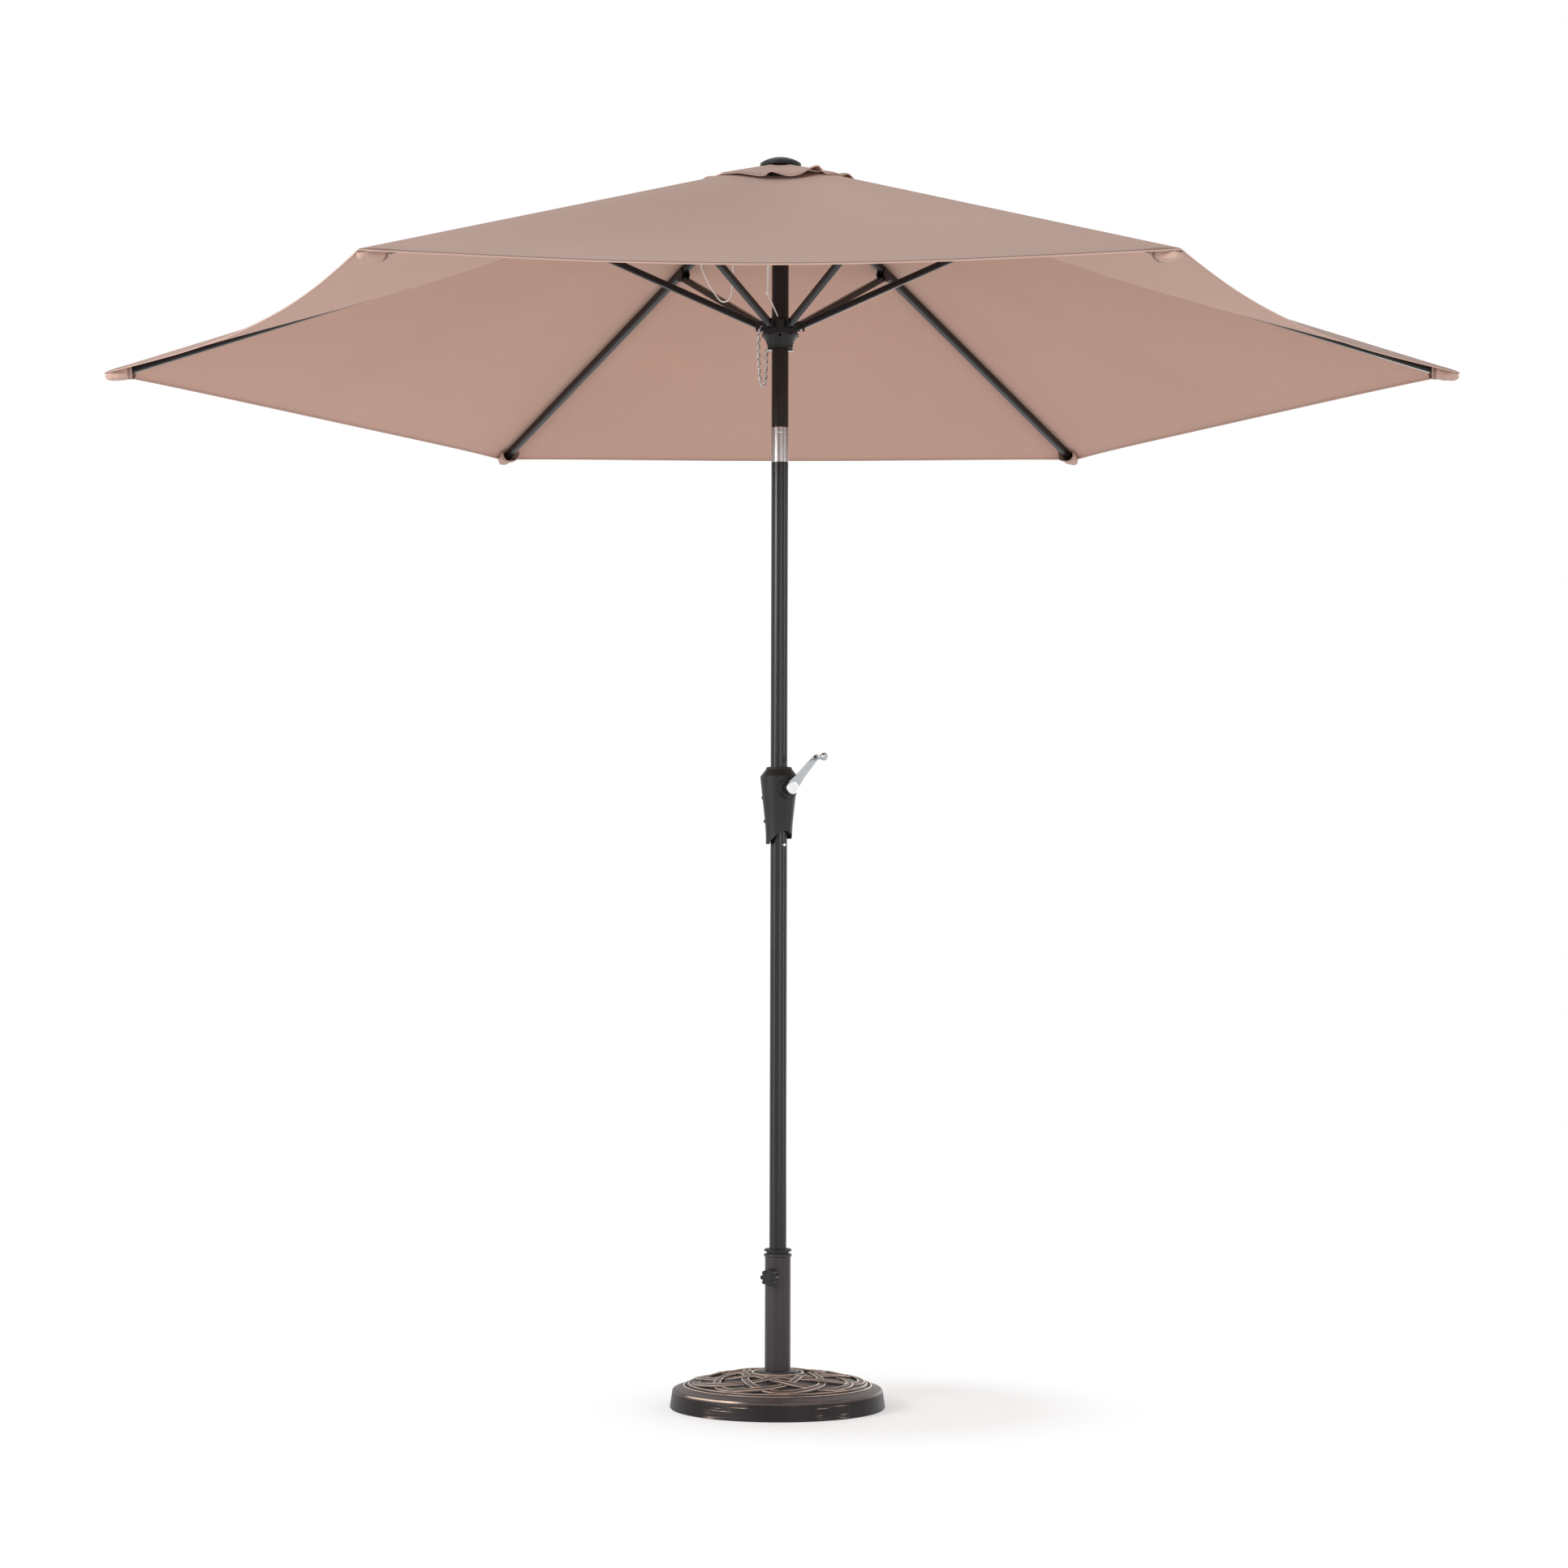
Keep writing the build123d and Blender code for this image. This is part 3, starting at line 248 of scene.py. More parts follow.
class StageSettings(bpy.types.PropertyGroup):
    """Camera, floor and light"""
    distance: length("Camera distance", "Level distance from the pole to the camera", 6.585)
    height: length("Camera height", "Height of the camera above the floor", 0.911)
    lens: FloatProperty(name="Lens", description="Focal length", default=75.92, subtype="DISTANCE_CAMERA")
    heading: FloatProperty(name="Heading", description="Turn round the pole from the front", default=0.0161,
                           subtype="ANGLE")
    yaw: FloatProperty(name="Yaw", description="Camera turned to the right", default=0.0015, subtype="ANGLE")
    pitch: FloatProperty(name="Pitch", description="Camera turned up", default=0.0488, subtype="ANGLE")
    roll: FloatProperty(name="Roll", description="Camera rolled", default=0.0025, subtype="ANGLE")
    floor: colour("Floor", "Colour of the floor", "FAFAF9")
    floor_glow: FloatProperty(name="Floor glow", description="Light that the floor adds to its own shading",
                              default=0.4, subtype="FACTOR")
    shadow_share: FloatProperty(name="Shadow", description="How much of the floor's shading shows",
                                default=0.75, subtype="FACTOR")


class ClothSettings(bpy.types.PropertyGroup):
    """Canopy cloth"""
    outside: colour("Outside", "Outer face of the cloth", "B6978A")
    underside: colour("Underside", "Under face of the cloth", "B99485")
    radius: length("Canopy radius", "From the pole to a corner", 1.36)
    opening: length("Vent opening", "Corner radius of the opening under the vent cap", 0.165)
    rim_height: length("Rim height", "Height of the corners", 2.058)
    hub_height: length("Cloth at the hub", "Height of the cloth over the rib pivots", 2.4706)
    hub_radius: length("Hub radius", "From the pole to the rib pivots", 0.034)
    hem_cut: length("Hem cut", "How far the hem draws in at mid span", 0.060)
    hem_sag: length("Hem sag", "How far the hem drops at mid span", 0.033)
    opening_sag: length("Opening sag", "How far the edge of the vent opening drops at mid span", 0.008)
    hollow: length("Hollow", "How far the middle of a panel hangs in", 0.018)
    gauge: length("Cloth", "Thickness of one layer", 0.001)
    doubled: length("Hems and seams", "Thickness where the cloth is folded over", 0.0019)
    vent_top: length("Vent cap top", "Corner radius of the part under the finial", 0.040)
    vent_height: length("Vent cap height", "Height of the cap under the finial", 2.4708)
    vent_radius: length("Vent cap radius", "From the pole to a corner of the vent cap", 0.222)
    vent_rim: length("Vent cap rim", "Height of the vent cap's corners", 2.4175)
    vent_sag: length("Vent cap sag", "How far the vent cap's hem drops at mid span", 0.006)
    pocket: length("Pocket", "Length of the pocket over a rib end", 0.060)
    folded_share: FloatProperty(name="Folded width", description="Width left when the canopy is down",
                                default=0.090, subtype="FACTOR")
    vent_folded: FloatProperty(name="Folded vent cap", description="Width of the cap left when it is down",
                               default=0.34, subtype="FACTOR")


class FrameSettings(bpy.types.PropertyGroup):
    """Pole, ribs, fittings and crank"""
    paint: colour("Frame paint", "Poles, ribs and struts", "1A181A")
    moulding: colour("Mouldings", "Hub, runner, housing and knobs", "19181A")
    tube: colour("Base tube", "Painted tube of the base", "322A2B")
    silver: colour("Tilt joint", "Cast joint of the mast", "B4B3B3")
    steel: colour("Steel", "Pin, chain and screws", "CACCCE")
    chrome: colour("Chrome", "Crank arm and knob", "BDC0C3")
    polish: colour("Polished cap", "Cap over the crank's shaft", "F0F1F2")
    cord: colour("Cord", "Braided cord", "F4F3F0")


class CastingSettings(bpy.types.PropertyGroup):
    """Cast base"""
    dark: colour("Dark", "Bronze in the hollows", "1C1617")
    flat: colour("Flat", "Bronze on the flats", "5A4D4B")
    # Also the colour of the painted highlight on the front-left of the base's rim.
    worn_and_highlight: colour("Worn", "Copper on the edges", "DCC3AC")
    band_width: length("Band width", "Width of the interlaced band", 0.0150)
    band_rise: length("Band rise", "Height of the band over the dome", 0.0034)
    loops: IntProperty(name="Loops", description="Bights of the interlace round the base", default=9)
    strands: IntProperty(name="Strands", description="Strands that cross on a radius", default=4)
    inner: length("Inner radius", "Smallest radius of the band's middle", 0.066)
    outer: length("Outer radius", "Largest radius of the band's middle", 0.165)


def settings(group):
    return getattr(bpy.context.scene, group)


# Finishes


class Value:
    """A node's output that takes part in Python expressions"""

    def __init__(self, paint, socket):
        self.paint = paint
        self.socket = socket

    def math(self, operation, *values):
        return self.paint.node("ShaderNodeMath", {"operation": operation}, values)

    def __add__(self, other):
        return self.math("ADD", self, other)

    def __sub__(self, other):
        return self.math("SUBTRACT", self, other)

    def __rsub__(self, other):
        return self.math("SUBTRACT", other, self)

    def __mul__(self, other):
        return self.math("MULTIPLY", self, other)

    def __truediv__(self, other):
        return self.math("DIVIDE", self, other)

    def __mod__(self, other):
        return self.math("FLOORED_MODULO", self, other)

    def __abs__(self):
        return self.math("ABSOLUTE", self)

    def __lt__(self, other):
        return self.math("LESS_THAN", self, other)

    def __gt__(self, other):
        return self.math("GREATER_THAN", self, other)

    __radd__ = __add__
    __rmul__ = __mul__

    def sine(self):
        return self.math("SINE", self)

    def root(self):
        return self.math("SQRT", self)

    def most(self, other):
        return self.math("MAXIMUM", self, other)

    def between(self, low, high):
        """Smooth rise from 0 at low to 1 at high"""
        return self.paint.node("ShaderNodeMapRange", {"interpolation_type": "SMOOTHSTEP"},
                               {"Value": self, "From Min": low, "From Max": high})


class NodeTree:
    """Nodes of a material or of the sky"""

    def __init__(self, tree):
        self.tree = tree

    def put(self, socket, value):
        if isinstance(value, Value):
            self.tree.links.new(value.socket, socket)
        elif hasattr(value, "__len__") and len(value) == 3 and socket.type == "RGBA":
            socket.default_value = (*value, 1)
        else:
            socket.default_value = value

    def node(self, kind, options=None, inputs=None, output=0):
        made = self.tree.nodes.new(kind)
        for key, value in (options or {}).items():
            setattr(made, key, value)
        inputs = inputs or {}
        pairs = inputs.items() if isinstance(inputs, dict) else enumerate(inputs)
        for key, value in pairs:
            self.put(made.inputs[key], value)
        return Value(self, made.outputs[output])

    def coordinates(self, kind="Object", stretch=(1, 1, 1)):
        where = self.node("ShaderNodeTexCoord", output=kind)
        if stretch == (1, 1, 1):
            return where
        return self.node("ShaderNodeMapping", {}, {"Vector": where, "Scale": stretch})

    def seen(self):
        """1 for what the camera sees, also through glass or in a reflection."""
        camera, shiny, clear = (self.node("ShaderNodeLightPath", output=f"Is {kind} Ray")
                                for kind in ("Camera", "Glossy", "Transmission"))
        return camera.most(shiny).most(clear)

    def parts(self, where):
        return [self.node("ShaderNodeSeparateXYZ", {}, {0: where}, output=axis) for axis in range(3)]


class Paint(NodeTree):
    """One material: its shader and the nodes that feed it"""

    def __init__(self, name, **constants):
        self.material = bpy.data.materials.new(name)
        self.material.use_nodes = True
        super().__init__(self.material.node_tree)
        self.shader = self.tree.nodes["Principled BSDF"]
        self.set(**constants)

    def speckle(self, where, scale, detail=2.0, roughness=0.5):
        return self.node("ShaderNodeTexNoise", {}, {"Vector": where, "Scale": scale, "Detail": detail,
                                                    "Roughness": roughness})

    def blend(self, share, first, second):
        return self.node("ShaderNodeMix", {"data_type": "RGBA"}, {0: share, 6: first, 7: second}, output=2)

    def attribute(self, name):
        return self.node("ShaderNodeAttribute", {"attribute_name": name}, output="Fac")

    def bump(self, height, strength, distance):
        inputs = {"Height": height, "Strength": strength, "Distance": distance}
        self.put(self.shader.inputs["Normal"], self.node("ShaderNodeBump", {}, inputs))

    def set(self, **values):
        for socket, value in values.items():
            self.put(self.shader.inputs[socket.replace("_", " ")], value)
        return self.material


def shade(code, share):
    """A colour made lighter or darker by a share."""
    return tuple(min(1.0, level * share) for level in code)


def painted(name, base, gloss, peel):
    """Powder coat: fine orange peel, slight changes of tone and gloss."""
    paint = Paint(name, Specular_IOR_Level=0.35)
    where = paint.coordinates()
    tone = paint.speckle(where, scale=5.0, detail=3.0)
    fine = paint.speckle(where, scale=650.0)
    handled = paint.speckle(where, scale=38.0, detail=4.0, roughness=0.6)
    paint.bump(fine, strength=peel, distance=0.0004)
    return paint.set(Base_Color=paint.blend(tone.between(0.3, 0.7), shade(base, 0.86), shade(base, 1.16)),
                     Roughness=gloss + (handled - 0.5) * 0.10)


def frame_paint(name):
    return painted(name, settings("umbrella_frame").paint, gloss=0.21, peel=0.006)


def tube_paint(name):
    return painted(name, settings("umbrella_frame").tube, gloss=0.42, peel=0.08)


def moulded(name):
    """Moulded plastic: fine spark-eroded grain."""
    base = settings("umbrella_frame").moulding
    paint = Paint(name, Specular_IOR_Level=0.32)
    where = paint.coordinates()
    grain = paint.speckle(where, scale=1100.0)
    cloud = paint.speckle(where, scale=16.0, detail=3.0)
    paint.bump(grain, strength=0.25, distance=0.0003)
    return paint.set(Base_Color=paint.blend(cloud, shade(base, 0.85), shade(base, 1.2)),
                     Roughness=0.40 + cloud * 0.16)


def drawn_metal(name, base, rough, stretch, depth):
    """Bare metal with fine lines along one direction."""
    paint = Paint(name, Metallic=1.0)
    lines = paint.speckle(paint.coordinates("Object", stretch), scale=60.0, detail=4.0, roughness=0.65)
    cloud = paint.speckle(paint.coordinates(), scale=24.0, detail=3.0)
    paint.bump(lines, strength=depth, distance=0.0004)
    return paint.set(Base_Color=paint.blend(lines, shade(base, 0.72), shade(base, 1.1)),
                     Roughness=rough + (cloud - 0.5) * 0.16)


def tilt_metal(name):
    return drawn_metal(name, settings("umbrella_frame").silver, rough=0.24, stretch=(14, 14, 0.5), depth=0.22)


def pin_steel(name):
    return drawn_metal(name, settings("umbrella_frame").steel, rough=0.27, stretch=(6, 6, 6), depth=0.12)


def chromed(name, base):
    """Plated metal with faint finger marks."""
    paint = Paint(name, Metallic=1.0)
    marks = paint.speckle(paint.coordinates(), scale=70.0, detail=4.0, roughness=0.6)
    return paint.set(Base_Color=paint.blend(marks, shade(base, 0.94), base),
                     Roughness=0.05 + marks * 0.09)


def crank_chrome(name):
    return chromed(name, settings("umbrella_frame").chrome)


def crank_polish(name):
    return chromed(name, settings("umbrella_frame").polish)


def braided(name):
    """White braided cord: crossing strands along the tube, with painted shade in the grooves between them."""
    base = settings("umbrella_frame").cord
    paint = Paint(name, Roughness=0.8)
    x, y, z = paint.parts(paint.coordinates())
    turn = (x + y) * 900.0
    climb = z * 2600.0
    weave = ((climb + turn).sine() + (climb - turn).sine()) * 0.25 + 0.5
    paint.bump(weave, strength=0.5, distance=0.0004)
    # Painted shade: the colour darkens where the weave runs low, in the grooves between strands.
    return paint.set(Base_Color=paint.blend(weave, shade(base, 0.86), base))


# fold sets how dark the painted crease shade at the hem is; edge sets the painted light on the turned hem edge.
def cloth(name, base, edge, fold):
    """Woven polyester: crossing threads, slubs and stitched seams, with painted light at the hem: a painted shade band
    in the crease above the turned edge, and the turned edge painted lighter on the outside and darker on the underside.
    """
    threads = 5200.0
    stitch_pitch = 0.0042
    stitch_length = 0.68 * stitch_pitch
    stitch_half = 0.0007
    hem_seam = 0.0125
    rib_seam = 0.0042
    paint = Paint(name, Roughness=0.82, Sheen_Weight=0.05, Sheen_Roughness=0.45)
    across, down, _ = paint.parts(paint.coordinates("UV"))
    warp = (across * threads).sine()
    weft = (down * threads).sine()
    slub = paint.speckle(paint.coordinates("UV", (40, 900, 1)), scale=1.0, detail=3.0)
    thread = paint.speckle(paint.coordinates("UV", (900, 40, 1)), scale=1.0, detail=3.0)
    cloud = paint.speckle(paint.coordinates(), scale=2.2, detail=4.0, roughness=0.55)
    crease = paint.speckle(paint.coordinates("UV", (5, 16, 1)), scale=1.0, detail=3.0)
    hem_line = abs(down - hem_seam) < stitch_half
    seam_line = abs(abs(across) - rib_seam) < stitch_half
    hem_stitch = hem_line * ((across % stitch_pitch) < stitch_length)
    seam_stitch = seam_line * ((down % stitch_pitch) < stitch_length)
    stitch = hem_stitch.most(seam_stitch)
    gutter = hem_line.most(seam_line)
    tone = (slub + thread - 1.0) * 0.5 + (cloud - 0.5) * 0.5
    ground = paint.blend(tone + 0.5, shade(base, 0.90), shade(base, 1.10))
    # Painted shade: a dark band in the crease above the turned hem edge; fold sets how dark it is.
    crease_shade_band = down.between(0.0022, 0.0028) * (1.0 - down.between(0.0085, 0.0110))
    # Painted light on the turned hem edge: an edge above 1 paints a highlight there, and an edge below 1 paints shade.
    painted_hem_edge_light = 1.0 - down.between(0.0020, 0.0026)
    crease_shaded = paint.blend(crease_shade_band * fold, ground, shade(base, 0.42))
    hem_edge_shaded = paint.blend(painted_hem_edge_light * 0.6, crease_shaded, shade(base, edge))
    lined = paint.blend(gutter * 0.35, hem_edge_shaded, shade(base, 0.55))
    relief = warp * weft * 0.06 + crease * 1.4 + stitch * 0.5 - gutter * 0.4 + slub * 0.1
    paint.bump(relief, strength=0.32, distance=0.0016)
    return paint.set(Base_Color=paint.blend(stitch * 0.6, lined, shade(base, 1.22)))


def cloth_outside(name):
    # edge 1.15 paints a highlight on the turned hem edge; fold 0.85 sets the depth of the painted crease shade.
    return cloth(name, settings("umbrella_cloth").outside, edge=1.15, fold=0.85)


def cloth_underside(name):
    # edge 0.72 paints shade on the turned hem edge; fold 0.30 sets the depth of the painted crease shade.
    return cloth(name, settings("umbrella_cloth").underside, edge=0.72, fold=0.30)


def bronze(name, wear_and_highlight_of):
    """Antique bronze: dark in the hollows, brown on the flats, copper on edges that handling has taken down to the
    metal, and the same copper for the painted highlight on the casting's rim.
    """
    group = settings("umbrella_casting")
    paint = Paint(name, Metallic=0.6)
    where = paint.coordinates()
    wear_and_highlight = wear_and_highlight_of(paint, where)
    pits = paint.speckle(where, scale=240.0, detail=4.0, roughness=0.65)
    patches = paint.speckle(where, scale=26.0, detail=5.0, roughness=0.62)
    # Copper where handling takes the edges down to metal, plus the painted highlight that the casting's mask carries.
    rubbed_and_highlight = wear_and_highlight.between(0.45, 0.95) * (patches.between(0.30, 0.55) * 0.7 + 0.3)
    dark = paint.blend(patches, shade(group.dark, 0.75), shade(group.dark, 1.35))
    ground = paint.blend(wear_and_highlight.between(0.05, 0.40), dark, group.flat)
    paint.bump(pits, strength=0.2, distance=0.0007)
    return paint.set(Base_Color=paint.blend(rubbed_and_highlight, ground, group.worn_and_highlight),
                     Roughness=0.46 - rubbed_and_highlight * 0.14 + (pits - 0.5) * 0.2)


def casting_wear_and_highlight(paint, where):
    """Rubbed rim and shoulder, a painted highlight along the front-left of the rim, and level rubs round the side in
    the places where hands take hold.
    """
    shoulder_edge = 0.186
    rim_radius = 0.2068
    rim_half = 0.0018
    side_edge = 0.2082
    x, y, _ = paint.parts(where)
    radius = (x * x + y * y).root()
    streaks = paint.speckle(paint.coordinates("Object", (11, 11, 620)), scale=1.0, detail=4.0, roughness=0.6)
    patches = paint.speckle(paint.coordinates("Object", (11, 11, 11)), scale=1.0)
    rubs = paint.speckle(paint.coordinates("Object", (7, 7, 7)), scale=1.0)
    handled_left = x.between(-0.150, -0.130) * (1.0 - x.between(-0.065, -0.045))
    handled_right = x.between(0.070, 0.085) * (1.0 - x.between(0.130, 0.150))
    handled = handled_left.most(handled_right).most((y > 0.0) * patches.between(0.48, 0.60))
    side = (radius > side_edge) * streaks.between(0.56, 0.66) * handled * 0.8
    # Painted highlight: the rim is lit only along its front-left, toward the key lamp.
    rim_highlight = (0.0 - y).between(0.05, 0.10) * x.between(-0.19, -0.165) * (1.0 - x.between(-0.09, -0.03))
    rim_band = 1.0 - (abs(radius - rim_radius) / rim_half).between(0.2, 1.0)
    # The rim carries the painted highlight at the front-left and random rubs all round.
    rim = rim_band * rim_highlight.most(rubs.between(0.46, 0.62) * 0.45)
    shoulder = (radius > shoulder_edge) * (radius < side_edge) * 0.24
    return rim.most(side).most(shoulder)


def casting(name):
    return bronze(name, casting_wear_and_highlight)


def band_bronze(name):
    return bronze(name, lambda paint, where: paint.attribute("raised"))


FINISHES = {
    "frame_paint": frame_paint,
    "tube_paint": tube_paint,
    "moulded": moulded,
    "tilt_metal": tilt_metal,
    "pin_steel": pin_steel,
    "crank_chrome": crank_chrome,
    "crank_polish": crank_polish,
    "braided": braided,
    "cloth_outside": cloth_outside,
    "cloth_underside": cloth_underside,
    "casting": casting,
    "band_bronze": band_bronze,
}


def finish(name):
    """The material of a finish, made the first time it is asked for."""
    return bpy.data.materials.get(name) or FINISHES[name](name)


# Meshes


def grid_sheet(rows, columns, place, flat, raised=None):
    """Sheet of quads: place gives the point of a row and column, and flat its spot on the cut cloth.

    The share that raised gives for a point is kept as an attribute and as the first vertex group.
    """
    shape = bmesh.new()
    flat_map = shape.loops.layers.uv.new("UVMap")
    group = shape.verts.layers.deform.verify()
    share = shape.verts.layers.float.new("raised")
    bmesh.ops.create_grid(shape, x_segments=rows, y_segments=columns, size=0.5)
    spots = {v: (round((v.co.x + 0.5) * rows), round((v.co.y + 0.5) * columns)) for v in shape.verts}
    for face in shape.faces:
        for loop in face.loops:
            loop[flat_map].uv = flat(*spots[loop.vert])
    for vert, spot in spots.items():
        vert.co = place(*spot)
        if raised:
            vert[share] = raised(*spot)
            vert[group][0] = vert[share]
    return shape


def close_shell(shape):
    """Merge the seam and poles of a wrapped sheet and turn its faces outwards."""
    bmesh.ops.remove_doubles(shape, verts=shape.verts[:], dist=1e-6)
    bmesh.ops.recalc_face_normals(shape, faces=shape.faces[:])


def make_piece(name, shape, finishes, slot):
    """Turn a bmesh into a smooth piece of the object."""
    mesh = bpy.data.meshes.new(name)
    shape.to_mesh(mesh)
    shape.free()
    return dress(name, mesh, finishes, slot)


def dress(name, mesh, finishes, slot):
    mesh.shade_smooth()
    piece = bpy.data.objects.new(name, mesh)
    bpy.context.scene.collection.objects.link(piece)
    mesh.materials.clear()
    for entry in finishes:
        mesh.materials.append(finish(entry))
    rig.slot(piece, slot)
    return piece


def route_curve(name, route, closed=False):
    """Smooth NURBS line with the route's points as its control points."""
    curve = bpy.data.curves.new(name, "CURVE")
    curve.dimensions = "3D"
    curve.resolution_u = 8
    curve.use_fill_caps = True
    spline = curve.splines.new("NURBS")
    spline.points.add(len(route) - 1)
    for point, place in zip(spline.points, route):
        point.co = (*place, 1)
    spline.order_u = 3
    spline.use_endpoint_u = not closed
    spline.use_cyclic_u = closed
    return curve


def curve_mesh(curve, radius):
    """Mesh of a curve, as a line where the radius is nothing."""
    curve.bevel_depth = radius
    curve.bevel_resolution = 2
    holder = bpy.data.objects.new(curve.name, curve)
    mesh = bpy.data.meshes.new_from_object(holder)
    bpy.data.objects.remove(holder)
    return mesh


def line_points(curve):
    return [vert.co.copy() for vert in curve_mesh(curve, 0).vertices]


def in_metres(route):
    return [Vector(point) * MM for point in route]


def spaced(points, gap):
    """Places and directions along a line, a gap apart."""
    spots = []
    carried = gap / 2
    for first, second in zip(points, points[1:]):
        step = second - first
        while carried <= step.length:
            spots.append((first + step.normalized() * carried, step.normalized()))
            carried += gap
        carried -= step.length
    return spots


# Cords and chain, in millimetres as on the frame

SLACK_ROUTE = [
    (-22.9, -6.2, 2415), (-44, -13, 2411), (-66, -19, 2397), (-83, -24, 2368), (-91, -27, 2326),
    (-94.5, -28.5, 2279), (-95.2, -29, 2245), (-96, -29, 2221), (-98.6, -29, 2207), (-104.4, -29, 2198),
    (-113.4, -28.7, 2195.6), (-122, -28.2, 2200.4), (-133, -27.6, 2216), (-147, -26, 2239),
    (-158, -22.6, 2267), (-166, -18, 2303), (-172, -13.6, 2342), (-176, -10.6, 2377), (-178, -8.6, 2408),
]
SLACK_ENDS = [(-50, -16, 2410), (-168, -16, 2410)]
CHAIN_ROUTE = [
    (-36.5, -10.0, 2151), (-36.5, -14.4, 2151), (-39.6, -16.6, 2146), (-42.6, -16.2, 2134),
    (-43.4, -15.4, 2109), (-42.4, -14.6, 2080), (-41.0, -14.0, 2055), (-39.2, -13.6, 2040.4),
    (-36.6, -13.2, 2032.0), (-32.0, -12.6, 2031.6), (-29.2, -11.8, 2040), (-28.2, -10.8, 2055),
    (-27.6, -9.6, 2078), (-27.3, -8.0, 2100.5),
]
MAST_CORD_ROUTE = [
    (8.75, 6.83, 1920), (8.75, 6.83, 2150), (8.75, 6.83, 2400), (8.75, 6.83, 2452.6),
    (-18.99, -14.84, 2452.6), (-18.99, -14.84, 2418), (-18.99, -14.84, 2385),
]
DROP_ROUTE = [
    (-18.99, -14.84, 2385), (-20.6, -14.5, 2340), (-24.4, -13.6, 2232), (-25.2, -13.5, 2216),
    (-18.9, -17.6, 2201), (-4.2, -27.5, 2167),
]
DROP_ENDS = [(-18.99, -14.84, 2385), (-18.99, -14.84, 2167)]
TAIL_ROUTE = [(-26, -20.3, 2446), (-26.2, -19.2, 2396), (-25.6, -16.0, 2296), (-25, -13.5, 2216)]
KNOT_PLACE = (-25, -13.5, 2216)
CORD_DIAMETER = 0.003


def cord_tube(name, route):
    """Cord piece along a route, with the points of its line."""
    curve = route_curve(name, in_metres(route))
    points = line_points(curve)
    piece = dress(name, curve_mesh(curve, CORD_DIAMETER / 2), ["braided"], "white_cord")
    return piece, points


def declare_cord(piece, points, far_end, lay, fittings=()):
    """Say how a cord leaves, runs and ends."""
    run = sum((second - first).length for first, second in zip(points, points[1:]))
    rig.cord(piece, exit=points[0], length=run, diameter=CORD_DIAMETER, far_end=far_end, stiffness="limp",
            lay=lay, path=points, with_pieces=list(fittings))


class UMBRELLA_OT_lift_cord(bpy.types.Operator):
    """Cord from the crank over the top pulley to the runner, with its knot and tail"""
    bl_idname = "umbrella.lift_cord"
    bl_label = "Lift cord"

    def execute(self, context):
        mast, mast_points = cord_tube("lift_cord_in_mast", MAST_CORD_ROUTE)
        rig.ride(mast, "mast_top")
        drop, drop_points = cord_tube("lift_cord_drop", DROP_ROUTE)
        tail, tail_points = cord_tube("lift_cord_tail", TAIL_ROUTE)
        knot = self.knot()
        top, foot = in_metres(DROP_ENDS)
        for piece in (drop, tail, knot):
            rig.blend(piece, "mast_top", "runner", start=top, end=foot)
        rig.replaces(drop, "lift_cord")
        declare_cord(mast, mast_points, "object", "taut")
        declare_cord(drop, drop_points, "object", "taut", [knot])
        declare_cord(tail, tail_points, "knot", "taut")
        return {"FINISHED"}

    @staticmethod
    def knot():
        """Overhand knot drawn tight: a trefoil round its place."""
        steps = 15
        width, depth, height = 1.05, 1.47, 1.365
        turns = []
        for step in range(steps):
            angle = 2 * pi * step / steps
            turns.append((
                KNOT_PLACE[0] + width * (sin(angle) + 2 * sin(2 * angle)),
                KNOT_PLACE[1] - depth * sin(3 * angle),
                KNOT_PLACE[2] + height * (cos(angle) - 2 * cos(2 * angle)),
            ))
        curve = route_curve("cord_knot", in_metres(turns), closed=True)
        return dress("cord_knot", curve_mesh(curve, CORD_DIAMETER / 2), ["braided"], "white_cord")


class UMBRELLA_OT_slack_cord(bpy.types.Operator):
    """Spare end of the cord, in a loop from the hub to a rib"""
    bl_idname = "umbrella.slack_cord"
    bl_label = "Slack cord"

    def execute(self, context):
        piece, points = cord_tube("slack_cord_loop", SLACK_ROUTE)
        start, end = in_metres(SLACK_ENDS)
        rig.blend(piece, "mast_top", "rib_4", start=start, end=end)
        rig.replaces(piece, "slack_cord")
        declare_cord(piece, points, "object", "hanging")
        return {"FINISHED"}


